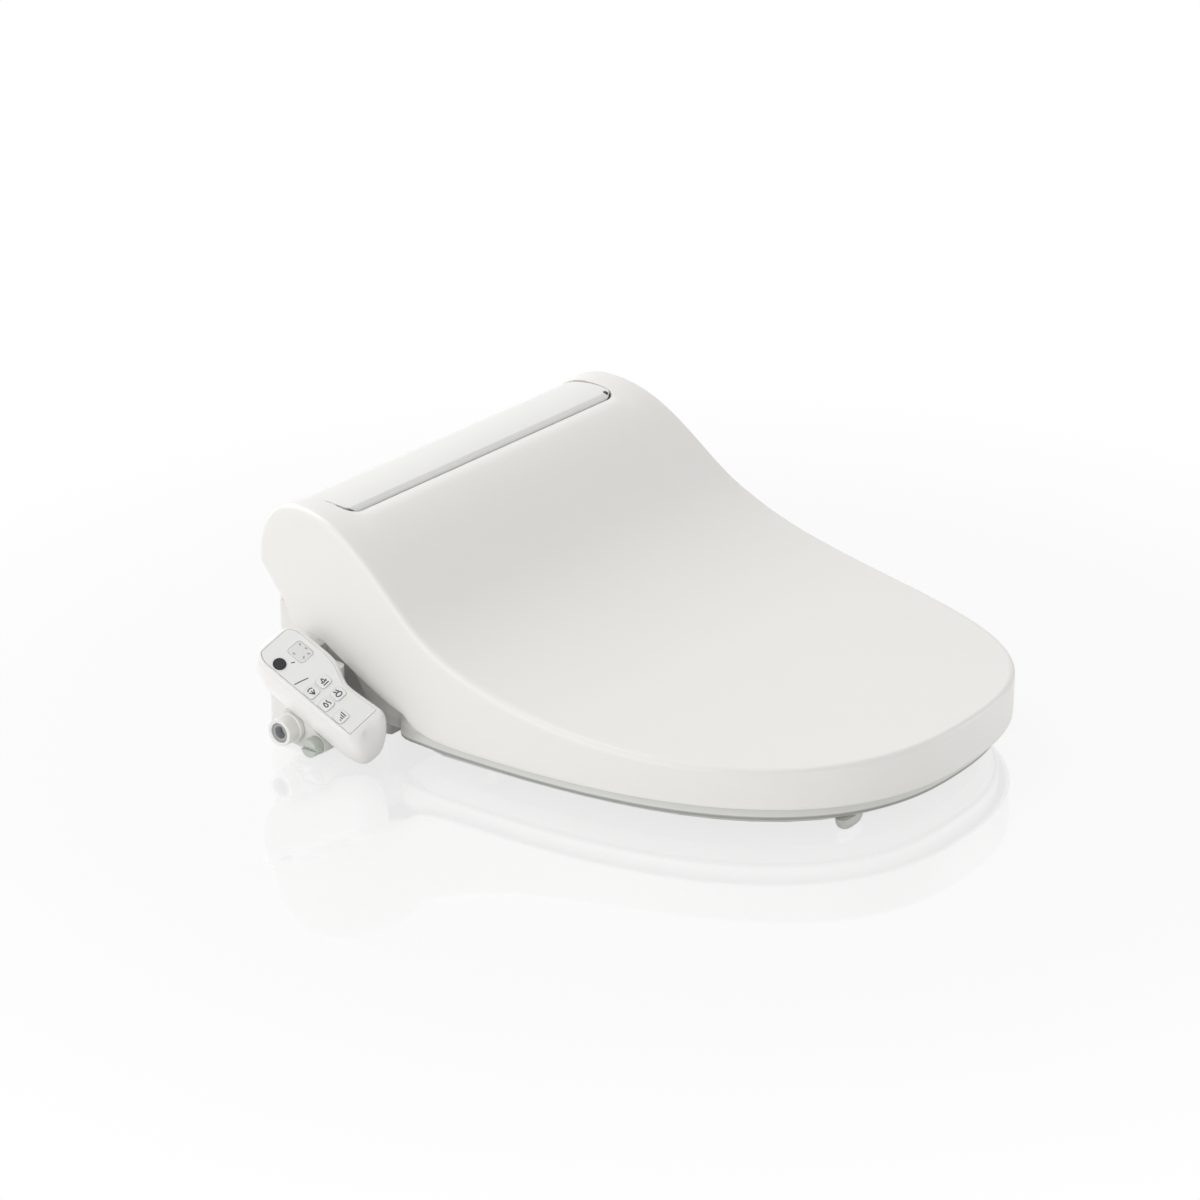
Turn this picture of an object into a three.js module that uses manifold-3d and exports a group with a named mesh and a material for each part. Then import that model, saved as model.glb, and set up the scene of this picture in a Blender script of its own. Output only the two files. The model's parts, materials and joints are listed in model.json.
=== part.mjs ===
// An electric bidet seat with a side control arm, in millimetres, +Z up.
// The origin lies midway between the two fixing bolts, on the face that rests on the bowl.
// +X is the left of someone sitting on it, +Y points at the wall behind.
import * as THREE from "three";
import { mergeVertices } from "three/addons/utils/BufferGeometryUtils.js";
import Module from "manifold-3d";

const wasm = await Module();
wasm.setup();

// ---------------------------------------------------------------- driving sizes
const fit = 0.3; // gap between pieces that touch
const hinge = { y: 7, z: 142, shaftRadius: 8, shaftEnd: 195 };

const lid = {
  reach: 487, // hinge axis to front tip
  halfWidth: 212,
  widest: 154, // hinge axis to the widest place
  wall: 3,
  earRadius: 43.1, // the ears are arcs about the hinge axis
  frontDrop: 75, // hinge axis down to the top face at the tip
  skirtDrop: 111, // hinge axis down to the lower edge
  sideTaper: 0.093, // the sides close in towards the wall
  sideLift: 168, // hinge axis to where the lower edge starts to climb
  cutHalfWidth: 163.3,
  cutFront: 32, // hinge axis to the front seam of the cut-out
  cutCorner: 14,
  hubRadius: 17,
};

const seat = {
  clearance: 6, // between the ring and the lid's inner face
  underside: 10, // height of the ring above the bowl
  thickness: 36,
  chamfer: 8, // height that the ring's outer edge turns up from the underside
  chamferDepth: 14,
  wall: 3,
  rear: 90, // hinge axis to the back edge of the ring
  openingHalfWidth: 108,
  openingLength: 278,
  backBar: 50, // width of the ring behind the opening
  armWidth: 9.5,
  armOuter: 189.5,
  hubRadius: 22,
  hubInner: 165,
};

const unit = {
  halfWidth: 178,
  front: -75,
  noseFront: -62,
  rear: 48,
  bottom: 3,
  top: 93,
  wall: 2.5,
  domeHalfWidth: 162.7,
  lidClearance: 3.5, // between the dome and the lid's inner face
  flange: 2.7,
  dome: 42.5, // radius of the dome's back about the hinge axis
  domeFoot: -75, // degrees below the hinge axis where the dome's back turns down
};

const plate = { halfWidth: 96, undercut: 6, depth: 36, height: 8.2 };
const bolt = { spacing: 140, slotWidth: 12, slotLength: 26 };
const strip = {
  thickness: 2.5,
  gap: 1.2, // between its front edge and the lid
  browDepth: 2.6, // the front edge leans back by this much
  browHeight: 3,
  holeX: 152,
  holeY: -23,
  holeRadius: 1.6,
};
const nozzle = { radius: 5, spacing: 18, slope: 38, length: 116, tipY: -57, tipZ: 10, travel: 80 };
const gear = { module: 1, teeth: 12, pressureAngle: 25, width: 8, addendum: 0.85, backlash: 0.35 };
const motor = { radius: 14, length: 18, shaft: 2.5 };
const tank = {
  inner: 48,
  outer: unit.halfWidth - 40,
  front: -52,
  rear: 14,
  bottom: 15,
  top: 124,
};
const heater = { radius: 8, length: 70 };
const damper = { radius: 13, length: 50 };
const screw = { x: unit.halfWidth - 28, y: [-55, 8], shank: 1.8, head: 4, length: 21, postRadius: 7 };
const inlet = { y: -19, z: 23, radius: 11, pipe: 8, proud: 16 };
const drain = { y: -43, z: 14, radius: 7.5, pipe: 6, proud: 10 };
const board = { thickness: 1.6 };

const arm = {
  centre: [-233, -44.4, 49.4],
  pitch: 27.9, // degrees, falls towards the front
  roll: -25.5, // faces outwards
  yaw: 4.8,
  halfLength: 60,
  halfWidth: 23,
  halfHeight: 25.5,
  corner: 17,
  waist: 13, // half width on the lid's side in front of the step
  step: 6, // where the waist widens
  wall: 2.5,
};
const face = { inset: 4.5, thickness: 0.8, front: 43, back: 53 };
const key = { width: 11, length: 9.5, depth: 4, proud: 0.6, travel: 0.6, rows: [2, -13, -28] };

// ---------------------------------------------------------------- materials
function plastic(color, roughness) {
  return new THREE.MeshStandardMaterial({ color, roughness, metalness: 0 });
}
const whiteGloss = plastic(0xf0f0ee, 0.28);
const whiteSatin = plastic(0xe9e9e6, 0.45);
const greyPlastic = plastic(0x9a9c9e, 0.55);
const blackPlastic = plastic(0x1d1e20, 0.35);
const clearRubber = plastic(0xb9bab8, 0.6);
const darkRubber = plastic(0x35373a, 0.8);
const boardGreen = plastic(0x2f6b46, 0.6);
const steel = new THREE.MeshStandardMaterial({ color: 0xb8bcc0, roughness: 0.35, metalness: 1 });
const foil = new THREE.MeshStandardMaterial({ color: 0xc9b28a, roughness: 0.5, metalness: 0.6 });

// ---------------------------------------------------------------- solids
function solid(geometry, matrix) {
  const bare = geometry.clone();
  bare.deleteAttribute("normal");
  bare.deleteAttribute("uv");
  if (matrix) bare.applyMatrix4(matrix);
  const merged = mergeVertices(bare, 1e-4);
  const vertProperties = new Float32Array(merged.attributes.position.array);
  const triVerts = new Uint32Array(merged.index.array);
  return new wasm.Manifold(new wasm.Mesh({ numProp: 3, vertProperties, triVerts }));
}

const join = (...solids) => solids.reduce((whole, piece) => whole.add(piece));
const cut = (body, ...tools) => tools.reduce((rest, tool) => rest.subtract(tool), body);

function box(x, y, z, matrix) {
  const geometry = new THREE.BoxGeometry(x[1] - x[0], y[1] - y[0], z[1] - z[0]);
  geometry.translate((x[0] + x[1]) / 2, (y[0] + y[1]) / 2, (z[0] + z[1]) / 2);
  return solid(geometry, matrix);
}

// A round bar between two points.
function rod(from, to, radius, sides = 24, matrix) {
  const start = new THREE.Vector3(...from);
  const along = new THREE.Vector3(...to).sub(start);
  const geometry = new THREE.CylinderGeometry(radius, radius, along.length(), sides);
  geometry.translate(0, along.length() / 2, 0);
  const turn = new THREE.Quaternion().setFromUnitVectors(
    new THREE.Vector3(0, 1, 0),
    along.clone().normalize(),
  );
  geometry.applyQuaternion(turn);
  geometry.translate(start.x, start.y, start.z);
  return solid(geometry, matrix);
}

function shapeOf(points) {
  return points instanceof THREE.Shape ? points : new THREE.Shape(points);
}

// An outline in (x, y) raised along Z.
function prismZ(outline, z0, z1, matrix, steps = 2) {
  const settings = { depth: z1 - z0, bevelEnabled: false, curveSegments: steps };
  const geometry = new THREE.ExtrudeGeometry(shapeOf(outline), settings);
  geometry.translate(0, 0, z0);
  return solid(geometry, matrix);
}

// An outline in (y, z) drawn out along X, its ends rounded when a radius is given.
function prismX(outline, x0, x1, round = 0, matrix) {
  const settings = {
    depth: x1 - x0 - 2 * round,
    bevelEnabled: round > 0,
    bevelSize: round,
    bevelThickness: round,
    bevelOffset: -round,
    bevelSegments: 2,
    curveSegments: 4,
  };
  const geometry = new THREE.ExtrudeGeometry(shapeOf(outline), settings);
  geometry.translate(0, 0, x0 + round);
  geometry.applyMatrix4(new THREE.Matrix4().set(0, 0, 1, 0, 1, 0, 0, 0, 0, 1, 0, 0, 0, 0, 0, 1));
  return solid(geometry, matrix);
}

const group = new THREE.Group();

// Adds a solid, given in the frame of its parent group, as a named mesh.
function add(name, body, material, parent = group) {
  const mesh = body.getMesh();
  const geometry = new THREE.BufferGeometry();
  geometry.setAttribute("position", new THREE.BufferAttribute(mesh.vertProperties, 3));
  geometry.setIndex(new THREE.BufferAttribute(mesh.triVerts, 1));
  geometry.computeVertexNormals();
  const piece = new THREE.Mesh(geometry, material);
  piece.name = name;
  parent.add(piece);
  return piece;
}

function subgroup(position, rotation = new THREE.Euler()) {
  const child = new THREE.Group();
  child.position.set(...position);
  child.rotation.copy(rotation);
  group.add(child);
  return child;
}

const hingeFrame = () => subgroup([0, hinge.y, hinge.z]);
const atHinge = new THREE.Matrix4().makeTranslation(0, hinge.y, hinge.z);
const radians = THREE.MathUtils.degToRad;
const point = (x, y) => new THREE.Vector2(x, y);

// ---------------------------------------------------------------- outlines
// Moves each point of a line to its right by a distance; a closed line wraps round.
function offset(points, distance, closed = false) {
  const last = points.length - 1;
  return points.map((here, i) => {
    const before = points[i > 0 ? i - 1 : closed ? last : 0];
    const after = points[i < last ? i + 1 : closed ? 0 : last];
    const first = here.clone().sub(before).normalize();
    const second = after.clone().sub(here).normalize();
    const along = first.clone().add(second).normalize();
    const stretch = Math.max(0.5, along.dot(first.lengthSq() > 0 ? first : second));
    return here.clone().add(point(along.y, -along.x).multiplyScalar(distance / stretch));
  });
}

// Half width of the lid's plan at a distance forward of the hinge axis.
// The front is a superellipse, the sides close in a little towards the wall.
const noseFullness = 2.652;
const sideFullness = 2.421;

// The lid's plan as a loop in the hinge frame, inset by a distance, back edge at rearY.
function lidPlan(inset, rearY, steps = 22) {
  const length = lid.reach - lid.widest;
  const side = [];
  for (let i = 0; i <= steps; i++) {
    const turn = (i / steps) * (Math.PI / 2);
    const x = lid.halfWidth * Math.cos(turn) ** (2 / sideFullness);
    const y = -lid.widest - length * Math.sin(turn) ** (2 / noseFullness);
    side.push(point(x, y));
  }
  side[steps].x = 0;
  const rearX = lid.halfWidth - lid.sideTaper * (lid.widest + rearY);
  const right = [point(rearX, rearY), ...side];
  const left = right.slice(0, -1).reverse().map((p) => point(-p.x, p.y));
  const open = [...right, ...left];
  const moved = offset(open, inset);
  return moved;
}

// The crest of the lid in (y, z) of the hinge frame, from the top of the ears to the tip.
function crest() {
  const line = new THREE.Path();
  const ridge = lid.earRadius;
  const fall = lid.earRadius + lid.frontDrop; // total height that the crest loses
  line.moveTo(0, ridge);
  line.bezierCurveTo(-56, ridge, -88, ridge - 0.374 * fall, -123, ridge - 0.581 * fall);
  const slack = lid.reach - 123;
  line.bezierCurveTo(
    -123 - 0.229 * slack,
    ridge - 1.075 * fall,
    -lid.reach + 0.265 * slack,
    -lid.frontDrop - 0.083 * fall,
    -lid.reach,
    -lid.frontDrop,
  );
  return line.getPoints(14);
}

// An arc about the hinge axis in (y, z), angles in degrees from +Y towards +Z.
function arc(radius, from, to, steps) {
  return Array.from({ length: steps + 1 }, (_, i) => {
    const turn = radians(from + ((to - from) * i) / steps);
    return point(radius * Math.cos(turn), radius * Math.sin(turn));
  });
}

const earEnd = -16; // degrees: where the ear's arc ends at the back
const earInner = lid.earRadius - lid.wall;

// The lid seen from the side: crest, tip, lower edge, foot, neck and ear.
function lidSide() {
  const lower = -lid.skirtDrop;
  const climb = -lid.sideLift;
  const foot = new THREE.Path();
  foot.moveTo(climb - 14, lower);
  foot.quadraticCurveTo(climb, lower, climb + 13, lower + 5);
  foot.lineTo(-26, -lid.earRadius - 18);
  foot.quadraticCurveTo(-18, -lid.earRadius - 15, -8, -lid.earRadius - 14.5);
  foot.lineTo(5, -lid.earRadius - 13.5);
  foot.quadraticCurveTo(13, -lid.earRadius - 13, 14, -lid.earRadius - 5);
  foot.quadraticCurveTo(16, -lid.earRadius + 5, 25, -lid.earRadius + 12);
  const end = arc(lid.earRadius, earEnd, 90, 14);
  return [...crest(), point(-lid.reach, lower), ...foot.getPoints(5), ...end.slice(0, -1)];
}

// ---------------------------------------------------------------- lid
function lidCover() {
  const wide = lid.halfWidth + 10;
  const behind = lid.earRadius + 20;
  const below = -lid.skirtDrop - 40;
  const side = lidSide().reverse();
  const outer = prismX(side, -wide, wide).intersect(
    prismZ(lidPlan(0, behind), -lid.skirtDrop - 10, lid.earRadius + 10, undefined, 6),
  );
  const inside = offset(crest(), -lid.wall);
  const tip = inside[inside.length - 1];
  const hollowSide = [
    ...arc(earInner, earEnd + 2, 89, 12),
    ...inside.slice(1, -1),
    point(-lid.reach + lid.wall, tip.y),
    point(-lid.reach + lid.wall, below),
    point(behind, below),
    point(behind, earInner * Math.sin(radians(earEnd + 2))),
  ];
  const hollow = prismX(hollowSide, -wide, wide).intersect(
    prismZ(lidPlan(lid.wall, behind + 20), below - 10, lid.earRadius + 10),
  );
  const cutOut = prismZ(cutOutPlan(lid.cutHalfWidth, -lid.cutFront, behind), -30, 60, undefined, 6);
  const shell = cut(outer, hollow, cutOut);
  const hubs = [-1, 1].map((s) => {
    const inner = seat.armOuter + 0.8;
    const hub = rod([s * inner, 0, 0], [s * (hinge.shaftEnd + 1), 0, 0], lid.hubRadius);
    const bore = [s * (inner - 5), 0, 0];
    return { hub, bore: rod(bore, [s * (hinge.shaftEnd + fit), 0, 0], hinge.shaftRadius + fit) };
  });
  return cut(join(shell, ...hubs.map((h) => h.hub)), ...hubs.map((h) => h.bore));
}

// The cut-out over the main unit: a rectangle with rounded front corners.
function cutOutPlan(halfWidth, front, rear, corner = lid.cutCorner) {
  const outline = new THREE.Shape();
  outline.moveTo(halfWidth, rear);
  outline.lineTo(-halfWidth, rear);
  outline.lineTo(-halfWidth, front + corner);
  outline.quadraticCurveTo(-halfWidth, front, -halfWidth + corner, front);
  outline.lineTo(halfWidth - corner, front);
  outline.quadraticCurveTo(halfWidth, front, halfWidth, front + corner);
  return outline;
}

// ---------------------------------------------------------------- seat
// Distance from a centre to a closed loop along a direction.
function reachOf(loop, centre, angle) {
  const way = point(Math.cos(angle), Math.sin(angle));
  let far = 0;
  loop.forEach((a, i) => {
    const b = loop[(i + 1) % loop.length];
    const edge = b.clone().sub(a);
    const from = a.clone().sub(centre);
    const bottom = way.x * edge.y - way.y * edge.x;
    if (Math.abs(bottom) < 1e-12) return;
    const along = (from.x * edge.y - from.y * edge.x) / bottom;
    const share = (from.x * way.y - from.y * way.x) / bottom;
    if (along > 0 && share > -1e-9 && share < 1 + 1e-9) far = Math.max(far, along);
  });
  return far;
}

const openingRear = -seat.rear - seat.backBar;
const openingCentre = point(0, openingRear - seat.openingLength / 2);

function seatOutline() {
  const inset = lid.wall + seat.clearance;
  const plan = lidPlan(inset, 0).filter((p) => p.y < -seat.rear - 18);
  const edge = plan[0].x;
  const corner = 24;
  const bend = new THREE.Path();
  bend.moveTo(-edge, -seat.rear - corner);
  bend.quadraticCurveTo(-edge, -seat.rear, -edge + corner, -seat.rear);
  const left = bend.getPoints(5);
  const right = left.map((p) => point(-p.x, p.y)).reverse();
  return [...plan, ...left, ...right];
}

// The opening: an egg, blunter at the back.
function openingOutline(steps = 64) {
  return Array.from({ length: steps }, (_, i) => {
    const turn = (i / steps) * 2 * Math.PI;
    const c = Math.cos(turn);
    const s = Math.sin(turn);
    const fullness = s > 0 ? 2.5 : 2.15;
    const x = seat.openingHalfWidth * Math.sign(c) * Math.abs(c) ** (2 / fullness);
    const y = (seat.openingLength / 2) * Math.sign(s) * Math.abs(s) ** (2 / fullness);
    return openingCentre.clone().add(point(x, y));
  });
}

// A ring whose section is given as [distance from the outer edge, height] at each place.
function ringSolid(section, steps = 44) {
  const outer = seatOutline();
  const inner = openingOutline();
  const lines = [];
  for (let i = 0; i < steps; i++) {
    const turn = ((i + 0.5) / steps) * 2 * Math.PI;
    const far = reachOf(outer, openingCentre, turn);
    const near = reachOf(inner, openingCentre, turn);
    const way = point(Math.cos(turn), Math.sin(turn));
    lines.push(
      section(far - near).map(([depth, height]) => {
        const p = openingCentre.clone().add(way.clone().multiplyScalar(far - depth));
        return [p.x, p.y, height - hinge.z];
      }),
    );
  }
  const count = lines[0].length;
  const indices = [];
  for (let i = 0; i < steps; i++) {
    const next = (i + 1) % steps;
    for (let j = 0; j < count; j++) {
      const up = (j + 1) % count;
      const [a, b, c, d] = [i * count + j, next * count + j, next * count + up, i * count + up];
      indices.push(a, b, c, a, c, d);
    }
  }
  const geometry = new THREE.BufferGeometry();
  geometry.setAttribute("position", new THREE.Float32BufferAttribute(lines.flat(2), 3));
  geometry.setIndex(indices);
  return solid(geometry);
}

const seatTop = seat.underside + seat.thickness;

function seatTopSection(width) {
  const w = seat.wall;
  const low = seat.underside;
  const skin = [
    [0, low + seat.chamfer],
    [0, seatTop - 12],
    [2.5, seatTop - 5],
    [8, seatTop - 1],
    [0.42 * width, seatTop],
    [width - 20, seatTop - 6],
    [width - 6, seatTop - 13],
    [width, seatTop - 24],
    [width, low],
  ];
  const lining = [
    [width - w, low],
    [width - w, seatTop - 25],
    [width - 6 - w, seatTop - 15.5],
    [width - 21, seatTop - 6 - w],
    [0.42 * width, seatTop - w],
    [8.5, seatTop - 1 - w],
    [5, seatTop - 7],
    [w, seatTop - 13],
    [w, low + seat.chamfer],
  ];
  return [...skin, ...lining];
}

function seatBottomSection(width) {
  const out = seat.wall + fit;
  const inn = width - seat.wall - fit;
  const lip = 2.5;
  const low = seat.underside;
  const floor = low + 3;
  const { chamfer, chamferDepth } = seat;
  return [
    [out, low + chamfer],
    [out, floor + chamfer + 2],
    [out + lip, floor + chamfer + 2],
    [out + lip, floor + chamfer - 0.5],
    [chamferDepth + 1.5, floor],
    [inn - lip, floor],
    [inn - lip, floor + 5],
    [inn, floor + 5],
    [inn, low],
    [chamferDepth, low],
  ];
}

function heaterSection(width) {
  const top = seatTop - seat.wall - 3 * fit;
  return [
    [14, top - 1.6],
    [14, top - 0.8],
    [0.42 * width, top],
    [width - 25, top - 6.6],
    [width - 25, top - 7.4],
    [0.42 * width, top - 0.8],
  ];
}

// The side arm from the ring up to the hinge hub, in (y, z) of the hinge frame.
function seatArmSide() {
  const low = seat.underside + seat.chamfer + 0.5 - hinge.z;
  const high = seatTop - 2 - hinge.z;
  const r = seat.hubRadius;
  const outline = new THREE.Shape();
  outline.moveTo(-seat.rear - 0.8 * seat.wall, low);
  outline.quadraticCurveTo(-seat.rear + 22, low, -seat.rear + 36, low + 24);
  outline.absarc(0, 0, r, radians(-110), radians(140), false);
  outline.quadraticCurveTo(-48, -40, -seat.rear + 2, high);
  outline.lineTo(-seat.rear - 0.8 * seat.wall, high);
  return outline;
}

function seatTopShell() {
  const inner = seat.armOuter - seat.armWidth;
  const arms = [
    prismX(seatArmSide(), inner, seat.armOuter),
    prismX(seatArmSide(), -seat.armOuter, -inner),
  ];
  const hubs = [-1, 1].map((s) =>
    rod([s * seat.hubInner, 0, 0], [s * (seat.armOuter - 1), 0, 0], seat.hubRadius - 2),
  );
  const bore = rod([-lid.halfWidth, 0, 0], [lid.halfWidth, 0, 0], hinge.shaftRadius + fit);
  return cut(join(ringSolid(seatTopSection), ...arms, ...hubs), bore);
}

// Places on the ring: degrees round the opening's centre from +X, and depth in from the outer edge.
const bumper = { length: 30, width: 12, pad: 14, corner: 4 };
const seatBumpers = [
  { name: "seat_bumper_front", turn: -60.8, depth: 19.8 },
  { name: "seat_bumper_rear", turn: 33.8, depth: 47.5 },
];
const lidBumpers = [
  { name: "lid_bumper_front", turn: -59, depth: 21.5 },
  { name: "lid_bumper_middle", turn: -10.3, depth: 44 },
];

// Both bumpers of a pair, with their places in the hinge frame.
function bumperPair({ name, turn, depth }) {
  const outer = seatOutline();
  return [
    { name: name + "_left", angle: radians(turn) },
    { name: name + "_right", angle: Math.PI - radians(turn) },
  ].map((one) => {
    const reach = reachOf(outer, openingCentre, one.angle) - depth;
    const way = point(Math.cos(one.angle), Math.sin(one.angle));
    return { name: one.name, at: openingCentre.clone().add(way.multiplyScalar(reach)) };
  });
}

// A rectangle with rounded corners, centred on the origin.
function roundedBar(halfX, halfY, corner) {
  const outline = new THREE.Shape();
  const [l, w] = [halfX, halfY];
  outline.moveTo(-l + corner, -w);
  outline.lineTo(l - corner, -w);
  outline.absarc(l - corner, -w + corner, corner, -Math.PI / 2, 0, false);
  outline.lineTo(l, w - corner);
  outline.absarc(l - corner, w - corner, corner, 0, Math.PI / 2, false);
  outline.lineTo(-l + corner, w);
  outline.absarc(-l + corner, w - corner, corner, Math.PI / 2, Math.PI, false);
  outline.lineTo(-l, -w + corner);
  outline.absarc(-l + corner, -w + corner, corner, Math.PI, 1.5 * Math.PI, false);
  return outline;
}

// ---------------------------------------------------------------- main unit
// The base case seen from the side, in (y, z): a nose under the seat, a box behind it.
function baseSide(inset) {
  const outline = [
    point(unit.noseFront, unit.bottom),
    point(unit.rear - 6, unit.bottom),
    point(unit.rear, unit.bottom + 7),
    point(unit.rear, unit.top),
    point(unit.front, unit.top),
    point(unit.front, unit.top - 31),
    point(unit.noseFront, unit.top - 51),
  ];
  return offset(outline, -inset, true);
}

// The recess that the base case slides over, wider at the top so that it can't lift off.
function dovetail(grow, y0, y1, z0, z1) {
  const outline = [
    point(-plate.halfWidth + plate.undercut - grow, z0),
    point(plate.halfWidth - plate.undercut + grow, z0),
    point(plate.halfWidth + grow, z1),
    point(-plate.halfWidth - grow, z1),
  ];
  const turned = new THREE.Matrix4().set(1, 0, 0, 0, 0, 0, -1, y1, 0, 1, 0, 0, 0, 0, 0, 1);
  return prismZ(outline, 0, y1 - y0, turned);
}

function mountingPlate() {
  const body = dovetail(0, -plate.depth, plate.depth, 0, plate.height);
  const slots = [-1, 1].map((s) => {
    const centre = new THREE.Matrix4().makeTranslation((s * bolt.spacing) / 2, 0, 0);
    const long = roundedBar(bolt.slotWidth / 2, bolt.slotLength / 2, bolt.slotWidth / 2 - 0.01);
    const washer = roundedBar(bolt.slotWidth, bolt.slotLength / 2 + 6, bolt.slotWidth - 0.5);
    return join(
      prismZ(long, -1, plate.height + 1, centre, 5),
      prismZ(washer, plate.height / 2, plate.height + 1, centre, 5),
    );
  });
  return cut(body, ...slots);
}

const floorTop = plate.height + fit + 3.5; // top of the thick floor over the plate
const deckRim = 6; // the thick floor reaches this far past the plate
const nozzleFrame = new THREE.Matrix4()
  .makeTranslation(0, nozzle.tipY, nozzle.tipZ)
  .multiply(new THREE.Matrix4().makeRotationX(radians(nozzle.slope)));
const nozzleX = nozzle.spacing / 2;
const screwPlaces = [-1, 1].flatMap((sx) => screw.y.map((y) => [sx * screw.x, y]));
const screwTop = unit.top + fit + unit.flange + 9; // top of the bosses in the dome
const screwSeat = screwTop - screw.length; // underside of the screw heads

function baseCase() {
  const w = unit.wall;
  const half = unit.halfWidth;
  const whole = prismX(baseSide(0), -half, half, 5);
  const shell = cut(
    whole,
    prismX(baseSide(w), -half + w, half - w),
    box([-half + w, half - w], [unit.front + w, unit.rear - w], [unit.top - 8, unit.top + 5]),
  );
  const deckX = plate.halfWidth + deckRim;
  const deckY = [-plate.depth - 5, unit.rear];
  const deck = box([-deckX, deckX], deckY, [unit.bottom, floorTop]).intersect(whole);
  const posts = screwPlaces.map(([x, y]) =>
    rod([x, y, unit.bottom], [x, y, unit.top], screw.postRadius, 12),
  );
  const wells = screwPlaces.map(([x, y]) =>
    join(
      rod([x, y, 0], [x, y, screwSeat], screw.head + fit, 16),
      rod([x, y, 0], [x, y, unit.top + 5], screw.shank + fit, 12),
    ),
  );
  const recess = dovetail(fit, -plate.depth - fit, unit.rear + 5, 0, plate.height + fit);
  const portHalf = nozzleX + nozzle.radius + 10;
  const port = box([-portHalf, portHalf], [unit.front - 5, -46], [0, 34]);
  const body = join(shell, deck, ...posts, tankRests(), boardRest(), armWing());
  return cut(body, recess, port, ...wells, releaseWell(), glandHole(), inletBores());
}

// Ribs that carry the tank.
function tankRests() {
  const x = (tank.inner + tank.outer) / 2 - 18;
  const y = (tank.front + tank.rear) / 2;
  const z = [unit.bottom + 0.5, tank.bottom - fit];
  const ribs = [-1, 1].map((s) =>
    box([tank.outer - 24, tank.outer - 20], [y + s * 16 - 4, y + s * 16 + 4], z),
  );
  return join(...ribs, box([x - 2, x + 2], [tank.front + 16, tank.rear - 12], z));
}

const boardPlace = { x: [38 - unit.halfWidth, -52], y: 13.5, z: [58, 128] };
function boardRest() {
  const y = [boardPlace.y - 3, boardPlace.y + board.thickness + 3];
  const middle = (boardPlace.x[0] + boardPlace.x[1]) / 2 - 10;
  const rail = box([middle - 6, middle + 6], y, [unit.bottom + 0.5, boardPlace.z[0] + 4]);
  const slotY = [boardPlace.y - fit, boardPlace.y + board.thickness + fit];
  const slot = box([middle - 9, middle + 8], slotY, [boardPlace.z[0] - fit, boardPlace.z[1]]);
  return cut(rail, slot);
}

// The wing under the control arm, which carries the arm and the water fittings.
const wing = {
  out: 240, // outer end of the block round the water fittings
  postOut: 226,
  postFront: -44,
  corner: 8,
  bottom: 6,
  linkY: [-3, 20], // the bridge that passes behind the seat's arm
  linkTop: 68,
  skirt: 3.5, // wall round each water fitting
};
const armTurn = new THREE.Euler(radians(arm.pitch), radians(arm.roll), radians(arm.yaw), "ZXY");
const armFrame = new THREE.Matrix4()
  .makeTranslation(...arm.centre)
  .multiply(new THREE.Matrix4().makeRotationFromEuler(armTurn));

// The block round the two water fittings, seen from the side: a line round two circles.
function waterBlock(x0, x1) {
  const ends = [inlet, drain].map(({ y, z, radius }) => {
    const r = Math.min(radius + wing.skirt, z - wing.bottom);
    return rod([x0, y, z], [x1, y, z], r, 28);
  });
  return wasm.Manifold.hull(ends);
}

// An upright block with round corners and a rounded top.
function wingBlock([x0, x1], [y0, y1], top) {
  const plan = roundedBar((x1 - x0) / 2, (y1 - y0) / 2, wing.corner);
  const place = new THREE.Matrix4().makeTranslation((x0 + x1) / 2, (y0 + y1) / 2, 0);
  return prismZ(plan, wing.bottom, top, place, 3);
}

function armWing() {
  const outside = -seat.armOuter - 12; // outside the sweep of the seat's arm
  const root = -unit.halfWidth + 8;
  const back = wing.linkY[1];
  const column = wingBlock([-wing.postOut, outside], [wing.postFront, back], wing.linkTop);
  const bridge = wingBlock([-wing.postOut, root], wing.linkY, wing.linkTop);
  const foot = wingBlock([-wing.postOut, root], [-26, back], 28);
  const body = join(column, bridge, foot, waterBlock(-wing.out, outside));
  return cut(body, armPod(-fit, armFrame));
}

// The pod's plan in its own frame: full width at the back, stepping away from the lid in front.
function armPlan(inset) {
  const w = arm.halfWidth - inset;
  const l = arm.halfLength - inset;
  const c = Math.max(2, arm.corner - inset);
  const waist = arm.waist - inset;
  const step = arm.step + inset * 0.4;
  const outline = new THREE.Shape();
  outline.moveTo(-w, -l + c);
  outline.bezierCurveTo(-w, -l + 0.4 * c, -w + 0.4 * c, -l, -w + c, -l);
  outline.lineTo(waist - c + 3, -l);
  outline.bezierCurveTo(waist - 0.4 * c + 3, -l, waist + 3, -l + 0.5 * c, waist + 2, -l + c);
  outline.bezierCurveTo(waist - 1, -10, waist - 1, step - 22, waist + 3, step - 12);
  outline.bezierCurveTo(waist + 7, step - 4, w, step, w, step + 12);
  outline.lineTo(w, l - c);
  outline.bezierCurveTo(w, l - 0.4 * c, w - 0.4 * c, l, w - c, l);
  outline.lineTo(-w + c, l);
  outline.bezierCurveTo(-w + 0.4 * c, l, -w, l - 0.4 * c, -w, l - c);
  return outline;
}

// The pod seen from the side, in (y, z): flat face, round nose, round belly.
function armSide(inset) {
  const l = arm.halfLength - inset;
  const h = arm.halfHeight - inset;
  const outline = new THREE.Shape();
  outline.moveTo(-l, -4);
  outline.bezierCurveTo(-l, -h * 0.7, -l + 12, -h, -l + 26, -h);
  outline.lineTo(l - 16, -h);
  outline.quadraticCurveTo(l, -h, l, -h + 16);
  outline.lineTo(l, h - 10);
  outline.quadraticCurveTo(l, h, l - 10, h);
  outline.lineTo(-l + 16, h);
  outline.bezierCurveTo(-l + 5, h, -l, h - 8, -l, -4);
  return outline;
}

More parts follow.
